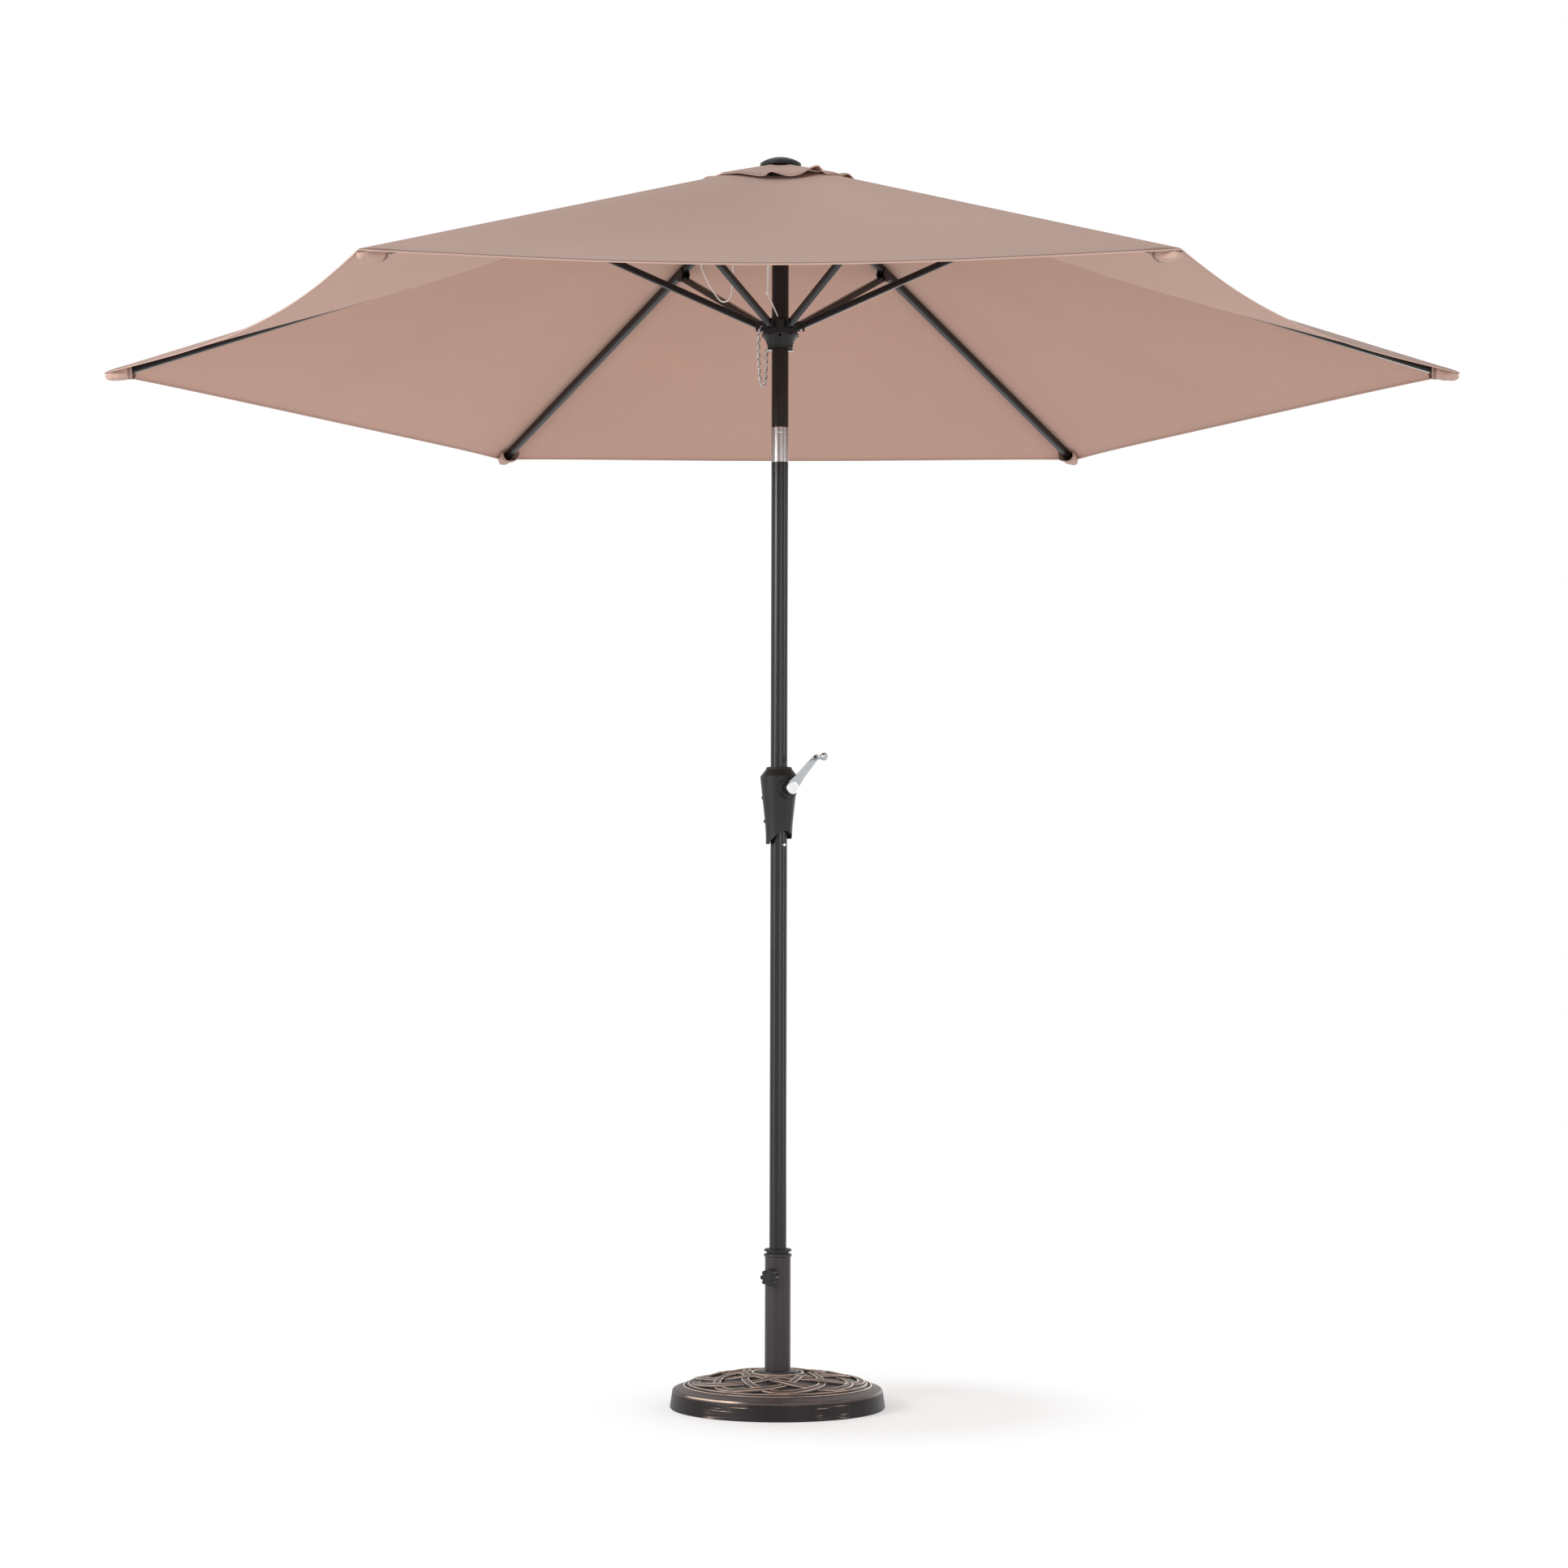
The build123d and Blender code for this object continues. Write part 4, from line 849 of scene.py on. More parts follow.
class UMBRELLA_OT_pin_chain(bpy.types.Operator):
    """Twisted-link chain from the runner to the safety pin"""
    bl_idname = "umbrella.pin_chain"
    bl_label = "Pin chain"

    link_pitch = 0.0080
    link_length = 0.0116
    link_width = 0.0078
    wire = 0.0011
    twist = radians(70)
    first_turn = radians(25)

    def execute(self, context):
        points = line_points(route_curve("chain_line", in_metres(CHAIN_ROUTE)))
        lowest = min(range(len(points)), key=lambda place: points[place].z)
        hanging = self.run("chain_upper", points[:lowest + 1])
        rising = self.run("chain_lower", points[lowest:])
        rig.blend(hanging, "mast_top", "runner", start=points[lowest], end=points[0])
        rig.blend(rising, "mast_top", "safety_pin", start=points[lowest], end=points[-1])
        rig.replaces(hanging, "pin_chain")
        return {"FINISHED"}

    def run(self, name, points):
        """Links of one run, joined in one mesh."""
        whole = bpy.data.meshes.new(name)
        merged = bmesh.new()
        for number, (place, along) in enumerate(spaced(points, self.link_pitch)):
            link = self.link()
            side = along.cross(Vector((0, 1, 0.2))).normalized()
            facing = Matrix((along, side, along.cross(side))).transposed().to_4x4()
            turn = Matrix.Rotation(pi / 2 * number + self.first_turn, 4, "X")
            bmesh.ops.transform(link, matrix=Matrix.Translation(place) @ facing @ turn, verts=link.verts[:])
            link.to_mesh(whole)
            link.free()
            merged.from_mesh(whole)
        return make_piece(name, merged, ["pin_steel"], "zinc_steel")

    def link(self):
        """Oval ring of wire with a twist along it."""
        around, sides = 16, 6
        straight = (self.link_length - self.link_width) / 2
        half = self.link_width / 2 - self.wire

        def place(row, column):
            angle = 2 * pi * row / around
            roll = 2 * pi * column / sides
            out = Vector((cos(angle), sin(angle), 0))
            end = Vector((straight if out.x >= 0 else -straight, 0, 0))
            middle = end + half * out
            point = middle + self.wire * (out * cos(roll) + Vector((0, 0, sin(roll))))
            return Matrix.Rotation(point.x / self.link_length * self.twist, 3, "X") @ point

        shape = grid_sheet(around, sides, place, lambda row, column: (row / around, column / sides))
        close_shell(shape)
        return shape


# Cloth


def rib_turn(index):
    return Matrix.Rotation(RIB_STEP * index, 4, "Z")


def bow(share):
    """Curve of the hem from a rib, at 0, to mid span, at 1."""
    return 1 - (1 - share) ** 2


# Half width of the cloth that lies straight over a rib
RIB_HALF = 0.009
# Middle of the cloth above the heights in the settings
CLOTH_LIFT = 0.0008
# Length of cloth for each metre out from the pole, about
SLANT = 1.02
# How much the columns crowd towards the rib
COLUMN_CROWDING = 1.12
# Columns beside a seam and rows beside a hem, by their distance from it
SEAM_STATIONS = (0.0, 0.0036, 0.0050, 0.0066, 0.0110)
HEM_STATIONS = (0.0, 0.0010, 0.0024, 0.0040, 0.0056, 0.0118, 0.0136)


def station_across(station, stations, half_width):
    """Distance from the rib of a column: fixed beside the seam, then spread to mid span."""
    if station < len(SEAM_STATIONS):
        return min(SEAM_STATIONS[station], half_width)
    first = len(SEAM_STATIONS) - 1
    share = (station - first) / (stations - first)
    return SEAM_STATIONS[-1] + (half_width - SEAM_STATIONS[-1]) * share ** COLUMN_CROWDING


def station_along(row, rows, run):
    """Share of the way from the opening to the hem of a row: even, then fixed beside the hem."""
    left = rows - row
    if left < len(HEM_STATIONS):
        return 1 - HEM_STATIONS[left] / run
    even = rows - len(HEM_STATIONS) + 1
    return row / even * (1 - HEM_STATIONS[-1] / run)


class Kite:
    """Cloth to both sides of a rib, as far as the middle of the panels beside it"""

    edge_turn = 0.0
    turn_width = HEM_STATIONS[4]
    turn_curve = 1.4
    doubled_columns = 2
    doubled_rows = 5

    def __init__(self, index, inner, outer, columns, rows):
        self.index = index
        self.inner = inner
        self.outer = outer
        self.stations = columns
        self.rows = rows

    def spot(self, row, column):
        """Ring and chord of a point, with its shares of the way out and of the way to mid span."""
        station = abs(column - self.stations)
        side = 1 if column >= self.stations else -1
        whole = station_across(station, self.stations, self.outer * sin(HALF_STEP))
        reach = self.hem_reach(whole / (self.outer * sin(HALF_STEP)))
        run = (reach - self.inner) * SLANT
        share = station_along(row, self.rows, run)
        ring = self.inner + (reach - self.inner) * share
        chord = station_across(station, self.stations, ring * sin(HALF_STEP))
        return ring, chord, side, share, (1 - share) * run

    def hem_reach(self, share):
        return self.outer

    def place(self, row, column):
        ring, chord, side, share, left = self.spot(row, column)
        across = chord / (ring * sin(HALF_STEP))
        flat = Vector((ring - chord * sin(HALF_STEP), side * chord * cos(HALF_STEP), 0))
        turned = rib_turn(self.index) @ flat
        turned_down = max(0.0, 1 - left / self.turn_width) ** self.turn_curve
        turned.z = self.height(ring, chord, across, share, turned) - self.edge_turn * turned_down
        return turned

    def flat(self, row, column):
        _, chord, side, _, left = self.spot(row, column)
        return (side * chord, left)

    def doubled(self, row, column):
        at_seam = abs(column - self.stations) <= self.doubled_columns
        at_hem = self.rows - row <= self.doubled_rows
        return 1.0 if at_seam or at_hem else 0.0

    def piece(self, name, first, last):
        """Cloth from one column to another."""
        shape = grid_sheet(self.rows, last - first, lambda row, column: self.place(row, column + first),
                           lambda row, column: self.flat(row, column + first),
                           lambda row, column: self.doubled(row, column + first))
        for edge in shape.edges:
            edge.smooth = not edge.is_boundary
        group = settings("umbrella_cloth")
        piece = make_piece(name, shape, ["cloth_outside", "cloth_underside"], "canopy_cloth")
        piece.vertex_groups.new(name="doubled")
        wall = piece.modifiers.new("Cloth", "SOLIDIFY")
        wall.thickness = group.doubled
        wall.thickness_vertex_group = group.gauge / group.doubled
        wall.vertex_group = "doubled"
        wall.offset = 0
        wall.material_offset = 1
        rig.ride(piece, f"rib_{self.index + 1}")
        return piece

    def fold(self, piece, axis, offset, keep):
        """Draw a piece in to a line beside the rib when the canopy comes down."""
        group = settings("umbrella_cloth")
        anchor = Vector((group.hub_radius, 0, group.hub_height)) + axis * offset
        turn = rib_turn(self.index)
        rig.squash(piece, "canopy_fold", axis=turn @ axis, anchor=turn @ anchor, keep=keep)


class CanopyKite(Kite):
    """Share of the canopy that a rib carries"""

    edge_turn = 0.0018
    hollow_place = 1.3
    bow_power = 2.0
    bow_ease = 0.9
    pucker_rise = 0.0016
    pucker_reach = 0.13
    pucker_folds = 13
    pucker_phase = 0.6
    pucker_start = 0.004
    pucker_full = 0.035

    def hem_reach(self, share):
        return self.outer - settings("umbrella_cloth").hem_cut * bow(share) / cos(HALF_STEP)

    @staticmethod
    def fall():
        """Fall of a rib for each metre out from the hub."""
        group = settings("umbrella_cloth")
        return (group.hub_height - group.rim_height) / (group.radius - group.hub_radius)

    def square_to_rib(self, side):
        """Direction across a half panel, at right angles to its rib."""
        along = Vector((1, 0, -self.fall())).normalized()
        chord = Vector((-sin(HALF_STEP), side * cos(HALF_STEP), 0))
        return chord - along * chord.dot(along)

    def height(self, ring, chord, across, share, point):
        group = settings("umbrella_cloth")
        level = group.hub_height + CLOTH_LIFT - (ring - group.hub_radius) * self.fall()
        sag = group.opening_sag * (1 - share) + group.hem_sag * share
        sag += group.hollow * sin(pi * share ** self.hollow_place)
        free = max(0.0, chord - RIB_HALF) / (ring * sin(HALF_STEP) - RIB_HALF)
        drop = sag * bow(free) ** (self.bow_power - self.bow_ease * share)
        return level - drop + self.pucker(ring, chord)

    def pucker(self, ring, chord):
        """Small folds that run in from the rib end."""
        short = settings("umbrella_cloth").radius - ring
        from_corner = hypot(short, chord)
        if from_corner < self.pucker_start:
            return 0.0
        angle = atan2(chord, max(MM, short))
        fade = exp(-from_corner / self.pucker_reach) * smooth_step(self.pucker_start, self.pucker_full, chord)
        return self.pucker_rise * fade * sin(self.pucker_folds * angle + self.pucker_phase)


class VentKite(Kite):
    """Share of the vent cap over a rib"""

    edge_turn = 0.0016
    loose_power = 4
    held_share = 0.3
    flutes = (
        (291.6, 8.0, 2.8, 0.017), (265.2, 2.8, 7.5, 0.010), (247.0, 9.0, 9.0, 0.003),
        (313.0, 6.0, 8.0, 0.012), (338.0, 9.0, 5.0, 0.013), (18.0, 8.0, 8.0, 0.005),
        (41.0, 4.0, 9.0, 0.011), (79.0, 9.0, 4.0, 0.009), (104.0, 6.0, 8.0, 0.006),
        (136.0, 4.0, 9.0, 0.010), (163.0, 8.0, 6.0, 0.007), (196.0, 9.0, 4.0, 0.009),
        (221.0, 5.0, 8.0, 0.011),
    )

    def height(self, ring, chord, across, share, point):
        group = settings("umbrella_cloth")
        slope = (group.vent_height - group.vent_rim) / (group.vent_radius - group.vent_top)
        level = group.vent_height + CLOTH_LIFT - max(0.0, ring - group.vent_top) * slope
        level -= group.vent_sag * bow(across) ** 2 * share
        azimuth = degrees(atan2(point.y, point.x)) % 360
        loose = share ** self.loose_power * smooth_step(0.0, self.held_share, across)
        return level + self.flute(azimuth) * loose

    def flute(self, azimuth):
        """Lift of the loose hem, from folds with a middle and two widths in degrees, and a height."""
        lift = 0.0
        for middle, before, after, rise in self.flutes:
            width = before if azimuth < middle else after
            lift += rise * exp(-((azimuth - middle) / width) ** 2)
        return lift


class UMBRELLA_OT_canopy(bpy.types.Operator):
    """Canopy of one cloth, seamed along the ribs, with a turned hem"""
    bl_idname = "umbrella.canopy"
    bl_label = "Canopy"

    def execute(self, context):
        group = settings("umbrella_cloth")
        level_depth = (group.radius - group.opening) * cos(HALF_STEP)
        depth = hypot(level_depth, group.hub_height - group.rim_height)
        half_panel = (group.radius + group.opening) / 4 * depth
        area = half_panel - group.radius * group.hem_cut / 3 - SEAM_STATIONS[-1] * depth
        seam_columns = len(SEAM_STATIONS) - 1
        seam_width = 2 * SEAM_STATIONS[-1] * cos(HALF_STEP)
        rib_run = (group.radius - group.opening) * sqrt(1 + CanopyKite.fall() ** 2)
        for index in range(RIB_COUNT):
            kite = CanopyKite(index, group.opening, group.radius, columns=40, rows=72)
            rib = f"rib_{index + 1}"
            middle = kite.stations
            seam = kite.piece(f"canopy_seam_{index + 1}", middle - seam_columns, middle + seam_columns)
            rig.replaces(seam, f"canopy_panel_{index + 1}")
            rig.sheet(seam, flat=(seam_width, rib_run), held="stretched", rests_on=[rib])
            for side, name, first, last in (
                (-1, f"canopy_right_{index + 1}", 0, middle - seam_columns),
                (1, f"canopy_left_{index + 1}", middle + seam_columns, 2 * middle),
            ):
                piece = kite.piece(name, first, last)
                across = kite.square_to_rib(side)
                seam_edge = SEAM_STATIONS[-1] * across.length
                kite.fold(piece, across.normalized(), seam_edge, group.folded_share)
                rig.sheet(piece, flat=(group.radius / 2, depth), held="stretched", area=area, rests_on=[rib])
        return {"FINISHED"}


class UMBRELLA_OT_vent_cap(bpy.types.Operator):
    """Small loose cap of cloth over the vent opening"""
    bl_idname = "umbrella.vent_cap"
    bl_label = "Vent cap"

    inner = 0.012
    depth_share = 0.92

    def execute(self, context):
        group = settings("umbrella_cloth")
        depth = (group.vent_radius - self.inner) * self.depth_share
        area = (group.vent_radius + self.inner) / 2 * depth
        for index in range(RIB_COUNT):
            kite = VentKite(index, self.inner, group.vent_radius, columns=34, rows=26)
            piece = kite.piece(f"vent_cloth_{index + 1}", 0, 2 * kite.stations)
            kite.fold(piece, Vector((0, 1, 0)), 0.0, group.vent_folded)
            if index == 0:
                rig.replaces(piece, "vent_cap")
            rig.sheet(piece, flat=(group.vent_radius, depth), held="stretched", area=area,
                     rests_on=["top_hub"])
        return {"FINISHED"}


class UMBRELLA_OT_pockets(bpy.types.Operator):
    """Sewn pockets that the rib ends sit in"""
    bl_idname = "umbrella.pockets"
    bl_label = "Rib pockets"

    around = 36
    rows = 22
    girth = 0.080
    mouth_half_width = 0.0205
    mouth_drop = 0.0195
    narrowing = 0.0115
    top_rise = 0.0072
    closing_from = 0.72
    closing_curve = 2.2
    squareness = 0.7
    crumple = 0.13
    mouth_slant = 0.007
    rib_middle_drop = 0.0096
    corner_gap = 0.002

    def execute(self, context):
        group = settings("umbrella_cloth")
        for index in range(RIB_COUNT):
            rib = f"rib_{index + 1}"
            shape = grid_sheet(self.rows, self.around, lambda row, column: self.place(index, row, column),
                               self.flat)
            close_shell(shape)
            piece = make_piece(f"rib_pocket_{index + 1}", shape, ["cloth_outside", "cloth_underside"],
                               "canopy_cloth")
            wall = piece.modifiers.new("Cloth", "SOLIDIFY")
            wall.thickness = group.gauge
            wall.offset = -1
            wall.material_offset = 1
            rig.ride(piece, rib)
            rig.sheet(piece, flat=(self.girth, group.pocket), held="stretched", rests_on=[rib])
        return {"FINISHED"}

    def flat(self, row, column):
        """Spot on the cut cloth, clear of the stitches beside a rib."""
        return column / self.around * 0.1 + 0.02, row / self.rows * 0.06

    def place(self, index, row, column):
        group = settings("umbrella_cloth")
        slope = atan2(group.hub_height - group.rim_height, group.radius - group.hub_radius)
        along = Vector((cos(slope), 0, -sin(slope)))
        normal = Vector((sin(slope), 0, cos(slope)))
        share = row / self.rows
        turn = 2 * pi * column / self.around
        closing = self.closing(share)
        seed = Vector((share * 5.0, cos(turn) * 1.6, sin(turn) * 1.6 + index * 7.3))
        crumpled = closing * (1 + self.crumple * noise.noise(seed) * (1 - share * 0.4))
        half_width = (self.mouth_half_width - self.narrowing * share) * crumpled
        bottom = (self.mouth_drop - self.narrowing * share) * crumpled
        height = self.top_rise * closing if sin(turn) > 0 else bottom
        sideways = half_width * self.rounded(cos(turn))
        rise = height * self.rounded(sin(turn))
        mouth = self.mouth_slant * max(0.0, -sin(turn)) * (1 - share)
        corner = (group.radius - group.hub_radius) / cos(slope)
        reach = corner - self.corner_gap - group.pocket * (1 - share) + mouth
        hub = Vector((group.hub_radius, 0, group.hub_height - self.rib_middle_drop))
        return rib_turn(index) @ (hub + along * reach + normal * rise + Vector((0, sideways, 0)))

    def closing(self, share):
        """Girth left on the way to the closed end."""
        past = max(0.0, (share - self.closing_from) / (1 - self.closing_from))
        return sqrt(max(0.0, 1 - past ** self.closing_curve))

    def rounded(self, level):
        """Sine or cosine of a section with rounded corners."""
        return copysign(abs(level) ** self.squareness, level)


# Cast base


class UMBRELLA_OT_base_bands(bpy.types.Operator):
    """Interlaced band and rings raised on the dome of the base"""
    bl_idname = "umbrella.base_bands"
    bl_label = "Base bands"

    profile = (
        (-0.50, -0.5, 0.0), (-0.49, 0.70, 0.4), (-0.47, 0.97, 1.0), (-0.38, 1.0, 1.0),
        (-0.34, 0.66, 0.3), (0.0, 0.60, 0.35), (0.34, 0.66, 0.3),
        (0.38, 1.0, 1.0), (0.47, 0.97, 1.0), (0.49, 0.70, 0.4), (0.50, -0.5, 0.0),
    )
    bead = (
        (-0.50, -0.6, 0.0), (-0.40, 0.5, 0.4), (-0.16, 1.0, 0.9),
        (0.16, 1.0, 0.9), (0.40, 0.5, 0.4), (0.50, -0.6, 0.0),
    )
    rings = (
        ("base_inner_ring", 0.0505, 0.0050, 0.0042),
        ("base_middle_ring", 0.1758, 0.0042, 0.0020),
        ("base_outer_ring", 0.1848, 0.0040, 0.0014),
    )
    ring_steps = 144
    strand_steps = 220
    crossing_lift = 0.0015
    dome_edge = (0.179, 0.046)
    dome_middle = (0.120, 0.0585)
    dome_crown = (0.046, 0.066)
    shoulder_start = (0.184, 0.044)
    shoulder_from = 0.182
    shoulder_fall = 0.324

    def execute(self, context):
        group = settings("umbrella_casting")
        steps = self.strand_steps * group.strands
        middle = (group.inner + group.outer) / 2
        swing = (group.outer - group.inner) / 2

        def knot(step):
            angle = 2 * pi * group.strands * step / steps
            phase = group.loops * angle / group.strands
            radius = middle + swing * cos(phase)
            over = self.crossing_lift * sin((group.strands - 1) * phase)
            return radius, angle, over

        self.band("base_interlace", self.profile, steps, knot, group.band_width, group.band_rise)
        for name, radius, width, rise in self.rings:
            self.band(name, self.bead, self.ring_steps,
                      lambda step: (radius, 2 * pi * step / self.ring_steps, 0.0), width, rise)
        return {"FINISHED"}

    def band(self, name, profile, steps, line, width, rise):
        """Closed band along a line of radius, angle and lift.

        Its section has points with an offset, a height and a share of wear.
        """
        columns = len(profile) - 1

        def level_point(step):
            radius, angle, lift = line(step % steps)
            return Vector((radius * cos(angle), radius * sin(angle), 0)), lift

        def place(row, column):
            point, lift = level_point(row)
            ahead, _ = level_point(row + 1)
            behind, _ = level_point(row - 1)
            along = (ahead - behind).normalized()
            side = Vector((-along.y, along.x, 0))
            offset, height, _ = profile[column]
            spot = point + side * (offset * width)
            spot.z = self.dome(hypot(spot.x, spot.y)) + height * rise + lift
            return spot

        shape = grid_sheet(steps, columns, place, lambda row, column: (row / steps, column / columns),
                           lambda row, column: profile[column][2])
        close_shell(shape)
        piece = make_piece(name, shape, ["band_bronze"], "base_bronze")
        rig.ride(piece, "base")

    def dome(self, radius):
        """Height of the dome, an arc through its edge, middle and crown, and of the shoulder outside it."""
        if radius > self.shoulder_from:
            return self.shoulder_start[1] - (radius - self.shoulder_start[0]) * self.shoulder_fall
        (r1, z1), (r2, z2), (r3, z3) = self.dome_edge, self.dome_middle, self.dome_crown
        d = 2 * (r1 * (z2 - z3) + r2 * (z3 - z1) + r3 * (z1 - z2))
        s1, s2, s3 = r1 * r1 + z1 * z1, r2 * r2 + z2 * z2, r3 * r3 + z3 * z3
        centre = (s1 * (z2 - z3) + s2 * (z3 - z1) + s3 * (z1 - z2)) / d
        floor = (s1 * (r3 - r2) + s2 * (r1 - r3) + s3 * (r2 - r1)) / d
        ball = hypot(r1 - centre, z1 - floor)
        inside = min(max(radius, r3), r1)
        return floor + sqrt(ball * ball - (inside - centre) ** 2)


# Frame


NODE_FINISHES = {
    "frame_paint": [
        "lower_pole", "upper_pole", "top_pole", "pole_joiner", "snap_spring",
        *(f"{part}_{number + 1}" for part in ("rib", "strut") for number in range(RIB_COUNT)),
    ],
    "moulded": [
        "tube_bushing", "clamp_knob", "pole_end_cap", "crank_housing_front", "crank_housing_rear",
        "shaft_bushes", "crank_spool", "top_hub", "cord_pulley", "finial", "runner",
    ],
    "tube_paint": ["base_tube", "tube_flange", "clamp_nut"],
    "casting": ["base_disc"],
    "tilt_metal": ["tilt_lower_knuckle", "tilt_upper_knuckle", "tilt_button", "snap_button"],
    "pin_steel": [
        "base_bolts", "clamp_screw", "tilt_pin", "hub_pins", "pulley_axle", "safety_pin", "crank_shaft",
        "housing_screws",
    ],
    "crank_chrome": ["crank_arm", "crank_knob"],
    "crank_polish": ["crank_cap"],
    "braided": ["lower_cord", "cord_winding"],
}


class UMBRELLA_OT_frame_finishes(bpy.types.Operator):
    """Finishes of the poles, ribs, fittings, crank and base"""
    bl_idname = "umbrella.frame_finishes"
    bl_label = "Frame finishes"

    def execute(self, context):
        for entry, nodes in NODE_FINISHES.items():
            for node in nodes:
                for slot in frame["nodes"][node].material_slots:
                    slot.material = finish(entry)
        return {"FINISHED"}


# Stage


class UMBRELLA_OT_stage(bpy.types.Operator):
    """Camera, floor, sky and lamps"""
    bl_idname = "umbrella.stage"
    bl_label = "Stage"

    floor_size = 60.0
    shadow_middle = 0.17
    shadow_full = 0.20
    shadow_end = 0.58

    def execute(self, context):
        scene = context.scene
        scene.view_settings.view_transform = "Standard"
        self.camera(scene)
        self.floor(scene)
        self.sky(scene)
        for name, place, aim, width, height, power in (
            ("Key lamp", (-5.2, -4.4, 3.4), (0, 0, 1.1), 2.6, 2.6, 220),
            ("Front lamp", (2.6, -6.5, 1.2), (0, 0, 1.5), 4.0, 4.0, 70),
            ("Back lamp", (3.0, 5.6, 1.0), (0, -0.6, 2.3), 4.0, 4.0, 70),
            ("Left strip", (-4.5, -2.2, 1.3), (0, 0, 1.2), 0.55, 3.6, 46),
            ("Right strip", (4.5, -1.5, 1.3), (0, 0, 1.2), 0.55, 3.6, 36),
        ):
            self.lamp(scene, name, place, aim, width, height, power)
        return {"FINISHED"}

    @staticmethod
    def camera(scene):
        group = settings("umbrella_stage")
        lens = bpy.data.cameras.new("Camera")
        lens.lens = group.lens
        lens.sensor_width = 36.0
        lens.clip_end = 200.0
        eye = bpy.data.objects.new("Camera", lens)
        scene.collection.objects.link(eye)
        yaw, pitch, roll = group.yaw, group.pitch, group.roll
        right = Vector((cos(yaw), -sin(yaw), 0))
        ahead = Vector((sin(yaw) * cos(pitch), cos(yaw) * cos(pitch), sin(pitch)))
        up = right.cross(ahead)
        x_axis = right * cos(roll) + up * sin(roll)
        y_axis = up * cos(roll) - right * sin(roll)
        turn = Matrix((x_axis, y_axis, -ahead)).transposed().to_4x4()
        place = Matrix.Translation((0, -group.distance, group.height))
        eye.matrix_world = Matrix.Rotation(group.heading, 4, "Z") @ place @ turn
        scene.camera = eye

    def floor(self, scene):
        group = settings("umbrella_stage")
        shape = bmesh.new()
        bmesh.ops.create_grid(shape, x_segments=1, y_segments=1, size=self.floor_size)
        mesh = bpy.data.meshes.new("Floor")
        shape.to_mesh(mesh)
        shape.free()
        plane = bpy.data.objects.new("Floor", mesh)
        scene.collection.objects.link(plane)
        paint = Paint("floor_paper", Roughness=0.9)
        paint.set(Base_Color=tuple(group.floor))
        x, y, _ = paint.parts(paint.coordinates())
        beside = x - self.shadow_middle
        far = (beside * beside + y * y).root().between(self.shadow_full, self.shadow_end)
        white = (1.0 - group.shadow_share) + far * group.shadow_share
        glow = paint.tree.nodes.new("ShaderNodeEmission")
        glow.inputs["Strength"].default_value = 1.0
        mixer = paint.tree.nodes.new("ShaderNodeMixShader")
        paint.put(mixer.inputs[0], (paint.seen() * white).most(group.floor_glow))
        paint.tree.links.new(paint.shader.outputs[0], mixer.inputs[1])
        paint.tree.links.new(glow.outputs[0], mixer.inputs[2])
        paint.tree.links.new(mixer.outputs[0], paint.tree.nodes["Material Output"].inputs["Surface"])
        mesh.materials.append(paint.material)
        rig.stage(plane)

    @staticmethod
    def sky(scene):
        """White where it is seen, and less light from overhead than from the sides."""
        world = bpy.data.worlds.new("Studio")
        scene.world = world
        world.use_nodes = True
        nodes = NodeTree(world.node_tree)
        ground = nodes.tree.nodes["Background"]
        _, _, up = nodes.parts(nodes.coordinates("Generated"))
        dome = nodes.node("ShaderNodeMapRange", {}, {"Value": up, "From Min": 0.25, "From Max": 1.0,
                                                     "To Min": 0.95, "To Max": 0.30})
        level = nodes.node("ShaderNodeMapRange", {}, {"Value": nodes.seen(), "To Min": dome, "To Max": 1.0})
        nodes.put(ground.inputs["Color"], (1, 1, 1))
        nodes.put(ground.inputs["Strength"], level)

    @staticmethod
    def lamp(scene, name, place, aim, width, height, power):
        light = bpy.data.lights.new(name, "AREA")
        light.shape = "ELLIPSE" if width == height else "RECTANGLE"
        light.size = width
        light.size_y = height
        light.energy = power
        holder = bpy.data.objects.new(name, light)
        scene.collection.objects.link(holder)
        holder.location = place
        holder.rotation_euler = (Vector(aim) - Vector(place)).to_track_quat("-Z", "Y").to_euler()


# Add-on


class UMBRELLA_PT_panel(bpy.types.Panel):
    """Pieces and settings of the umbrella"""
    bl_idname = "UMBRELLA_PT_panel"
    bl_label = "Patio umbrella"
    bl_space_type = "VIEW_3D"
    bl_region_type = "UI"
    bl_category = "Umbrella"

    def draw(self, context):
        for operator in OPERATORS:
            self.layout.operator(operator.bl_idname)
        for name, group in SETTINGS.items():
            box = self.layout.box()
            box.label(text=group.__doc__)
            for entry in group.__annotations__:
                box.prop(getattr(context.scene, name), entry)


SETTINGS = {
    "umbrella_stage": StageSettings,
    "umbrella_cloth": ClothSettings,
    "umbrella_frame": FrameSettings,
    "umbrella_casting": CastingSettings,
}
OPERATORS = (
    UMBRELLA_OT_stage,
    UMBRELLA_OT_lift_cord,
    UMBRELLA_OT_slack_cord,
    UMBRELLA_OT_pin_chain,
    UMBRELLA_OT_canopy,
    UMBRELLA_OT_vent_cap,
    UMBRELLA_OT_pockets,
    UMBRELLA_OT_base_bands,
    UMBRELLA_OT_frame_finishes,
)
CLASSES = (*SETTINGS.values(), *OPERATORS, UMBRELLA_PT_panel)


def register():
    for entry in CLASSES:
        bpy.utils.register_class(entry)
    for name, group in SETTINGS.items():
        setattr(bpy.types.Scene, name, PointerProperty(type=group))


def unregister():
    for name in SETTINGS:
        delattr(bpy.types.Scene, name)
    for entry in reversed(CLASSES):
        bpy.utils.unregister_class(entry)


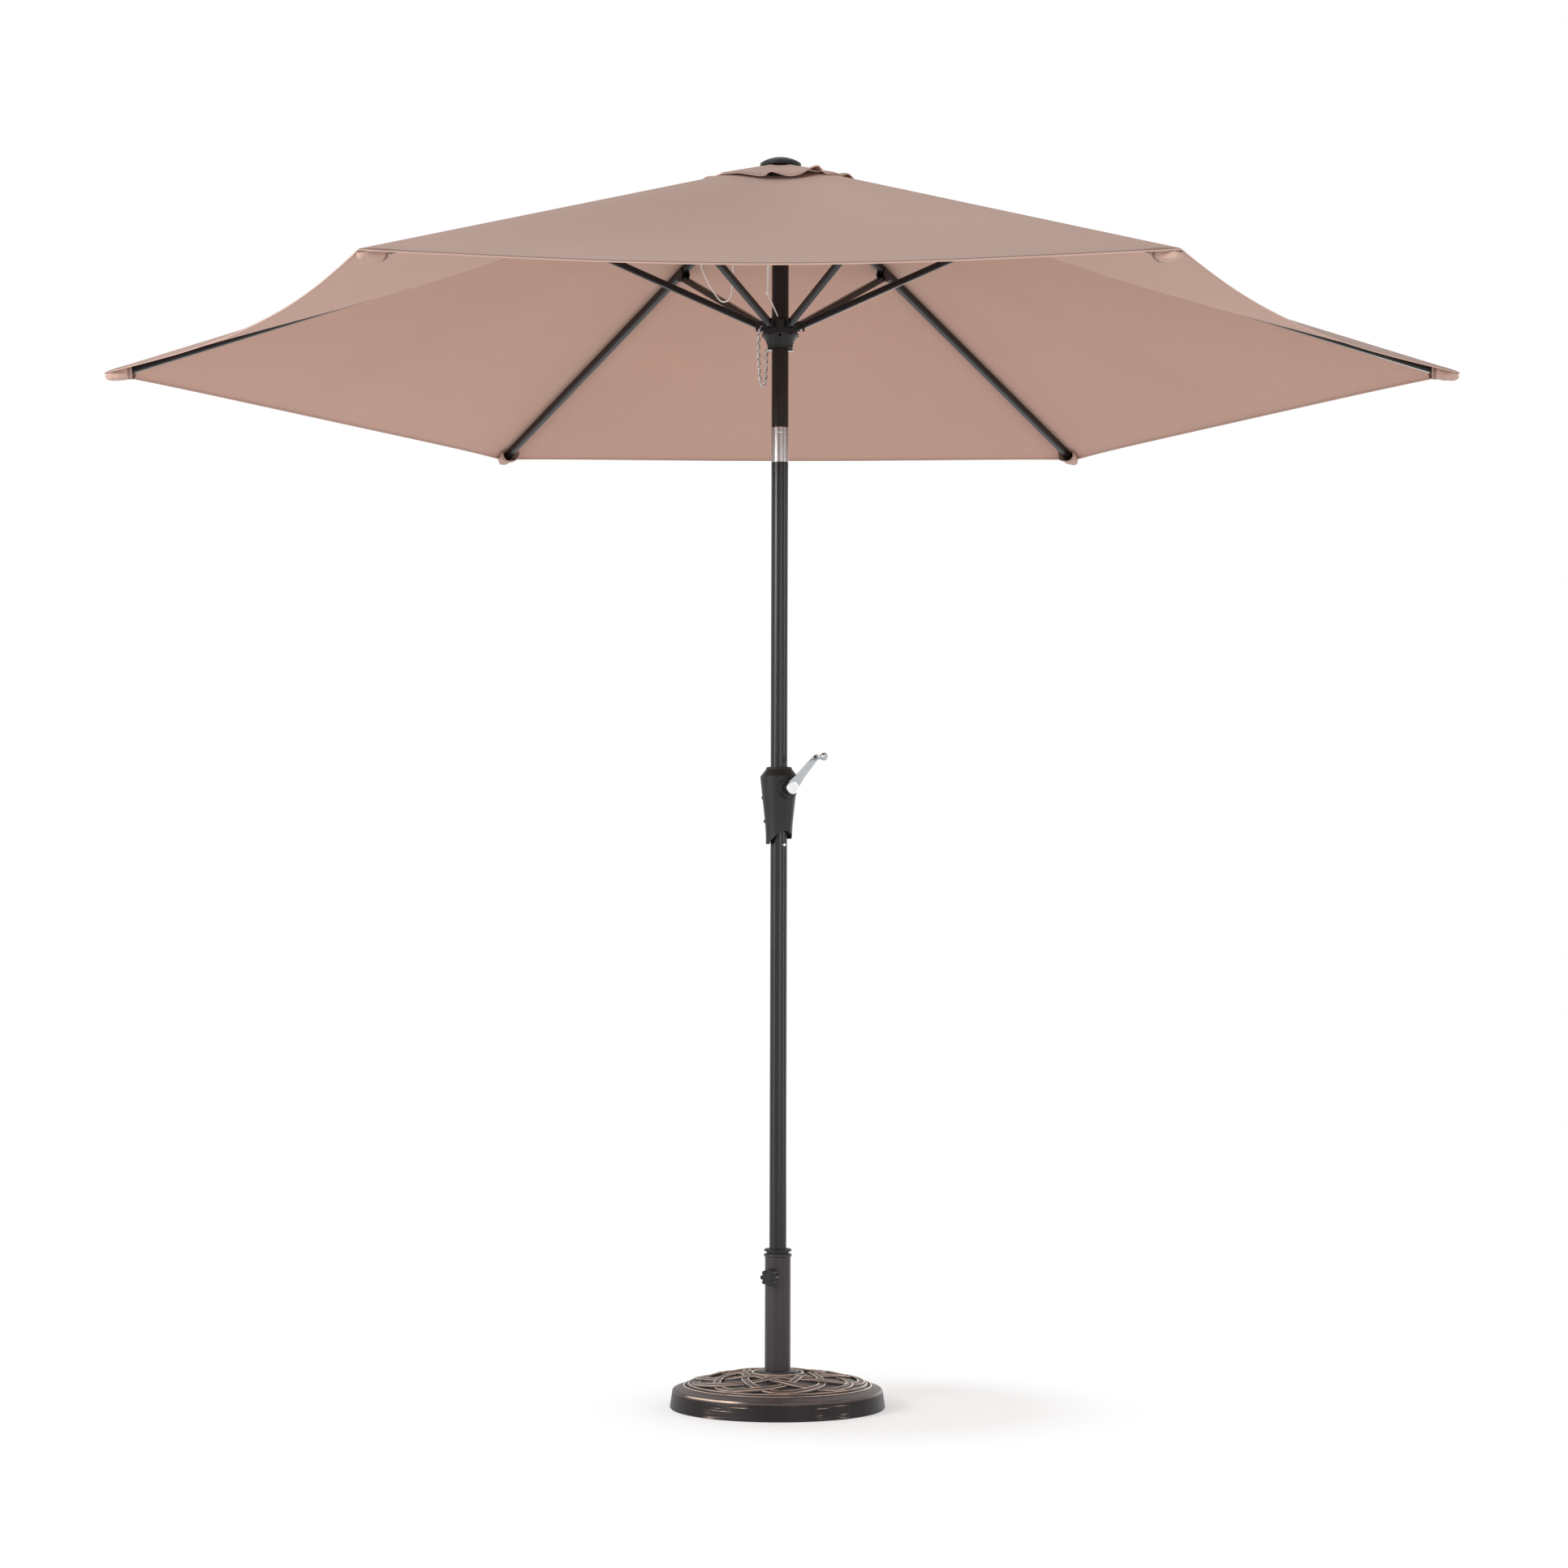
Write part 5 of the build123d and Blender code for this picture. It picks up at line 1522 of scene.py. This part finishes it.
def main():
    register()
    bpy.ops.umbrella.stage()
    bpy.ops.umbrella.lift_cord()
    bpy.ops.umbrella.slack_cord()
    bpy.ops.umbrella.pin_chain()
    bpy.ops.umbrella.canopy()
    bpy.ops.umbrella.vent_cap()
    bpy.ops.umbrella.pockets()
    bpy.ops.umbrella.base_bands()
    bpy.ops.umbrella.frame_finishes()
    sizes = {"cad": [list(corner) for corner in CAD_BOX], "visual": [list(corner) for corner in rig.bounds()]}
    with open("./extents.json", "w") as file:
        json.dump(sizes, file)


if __name__ == "__main__":
    main()
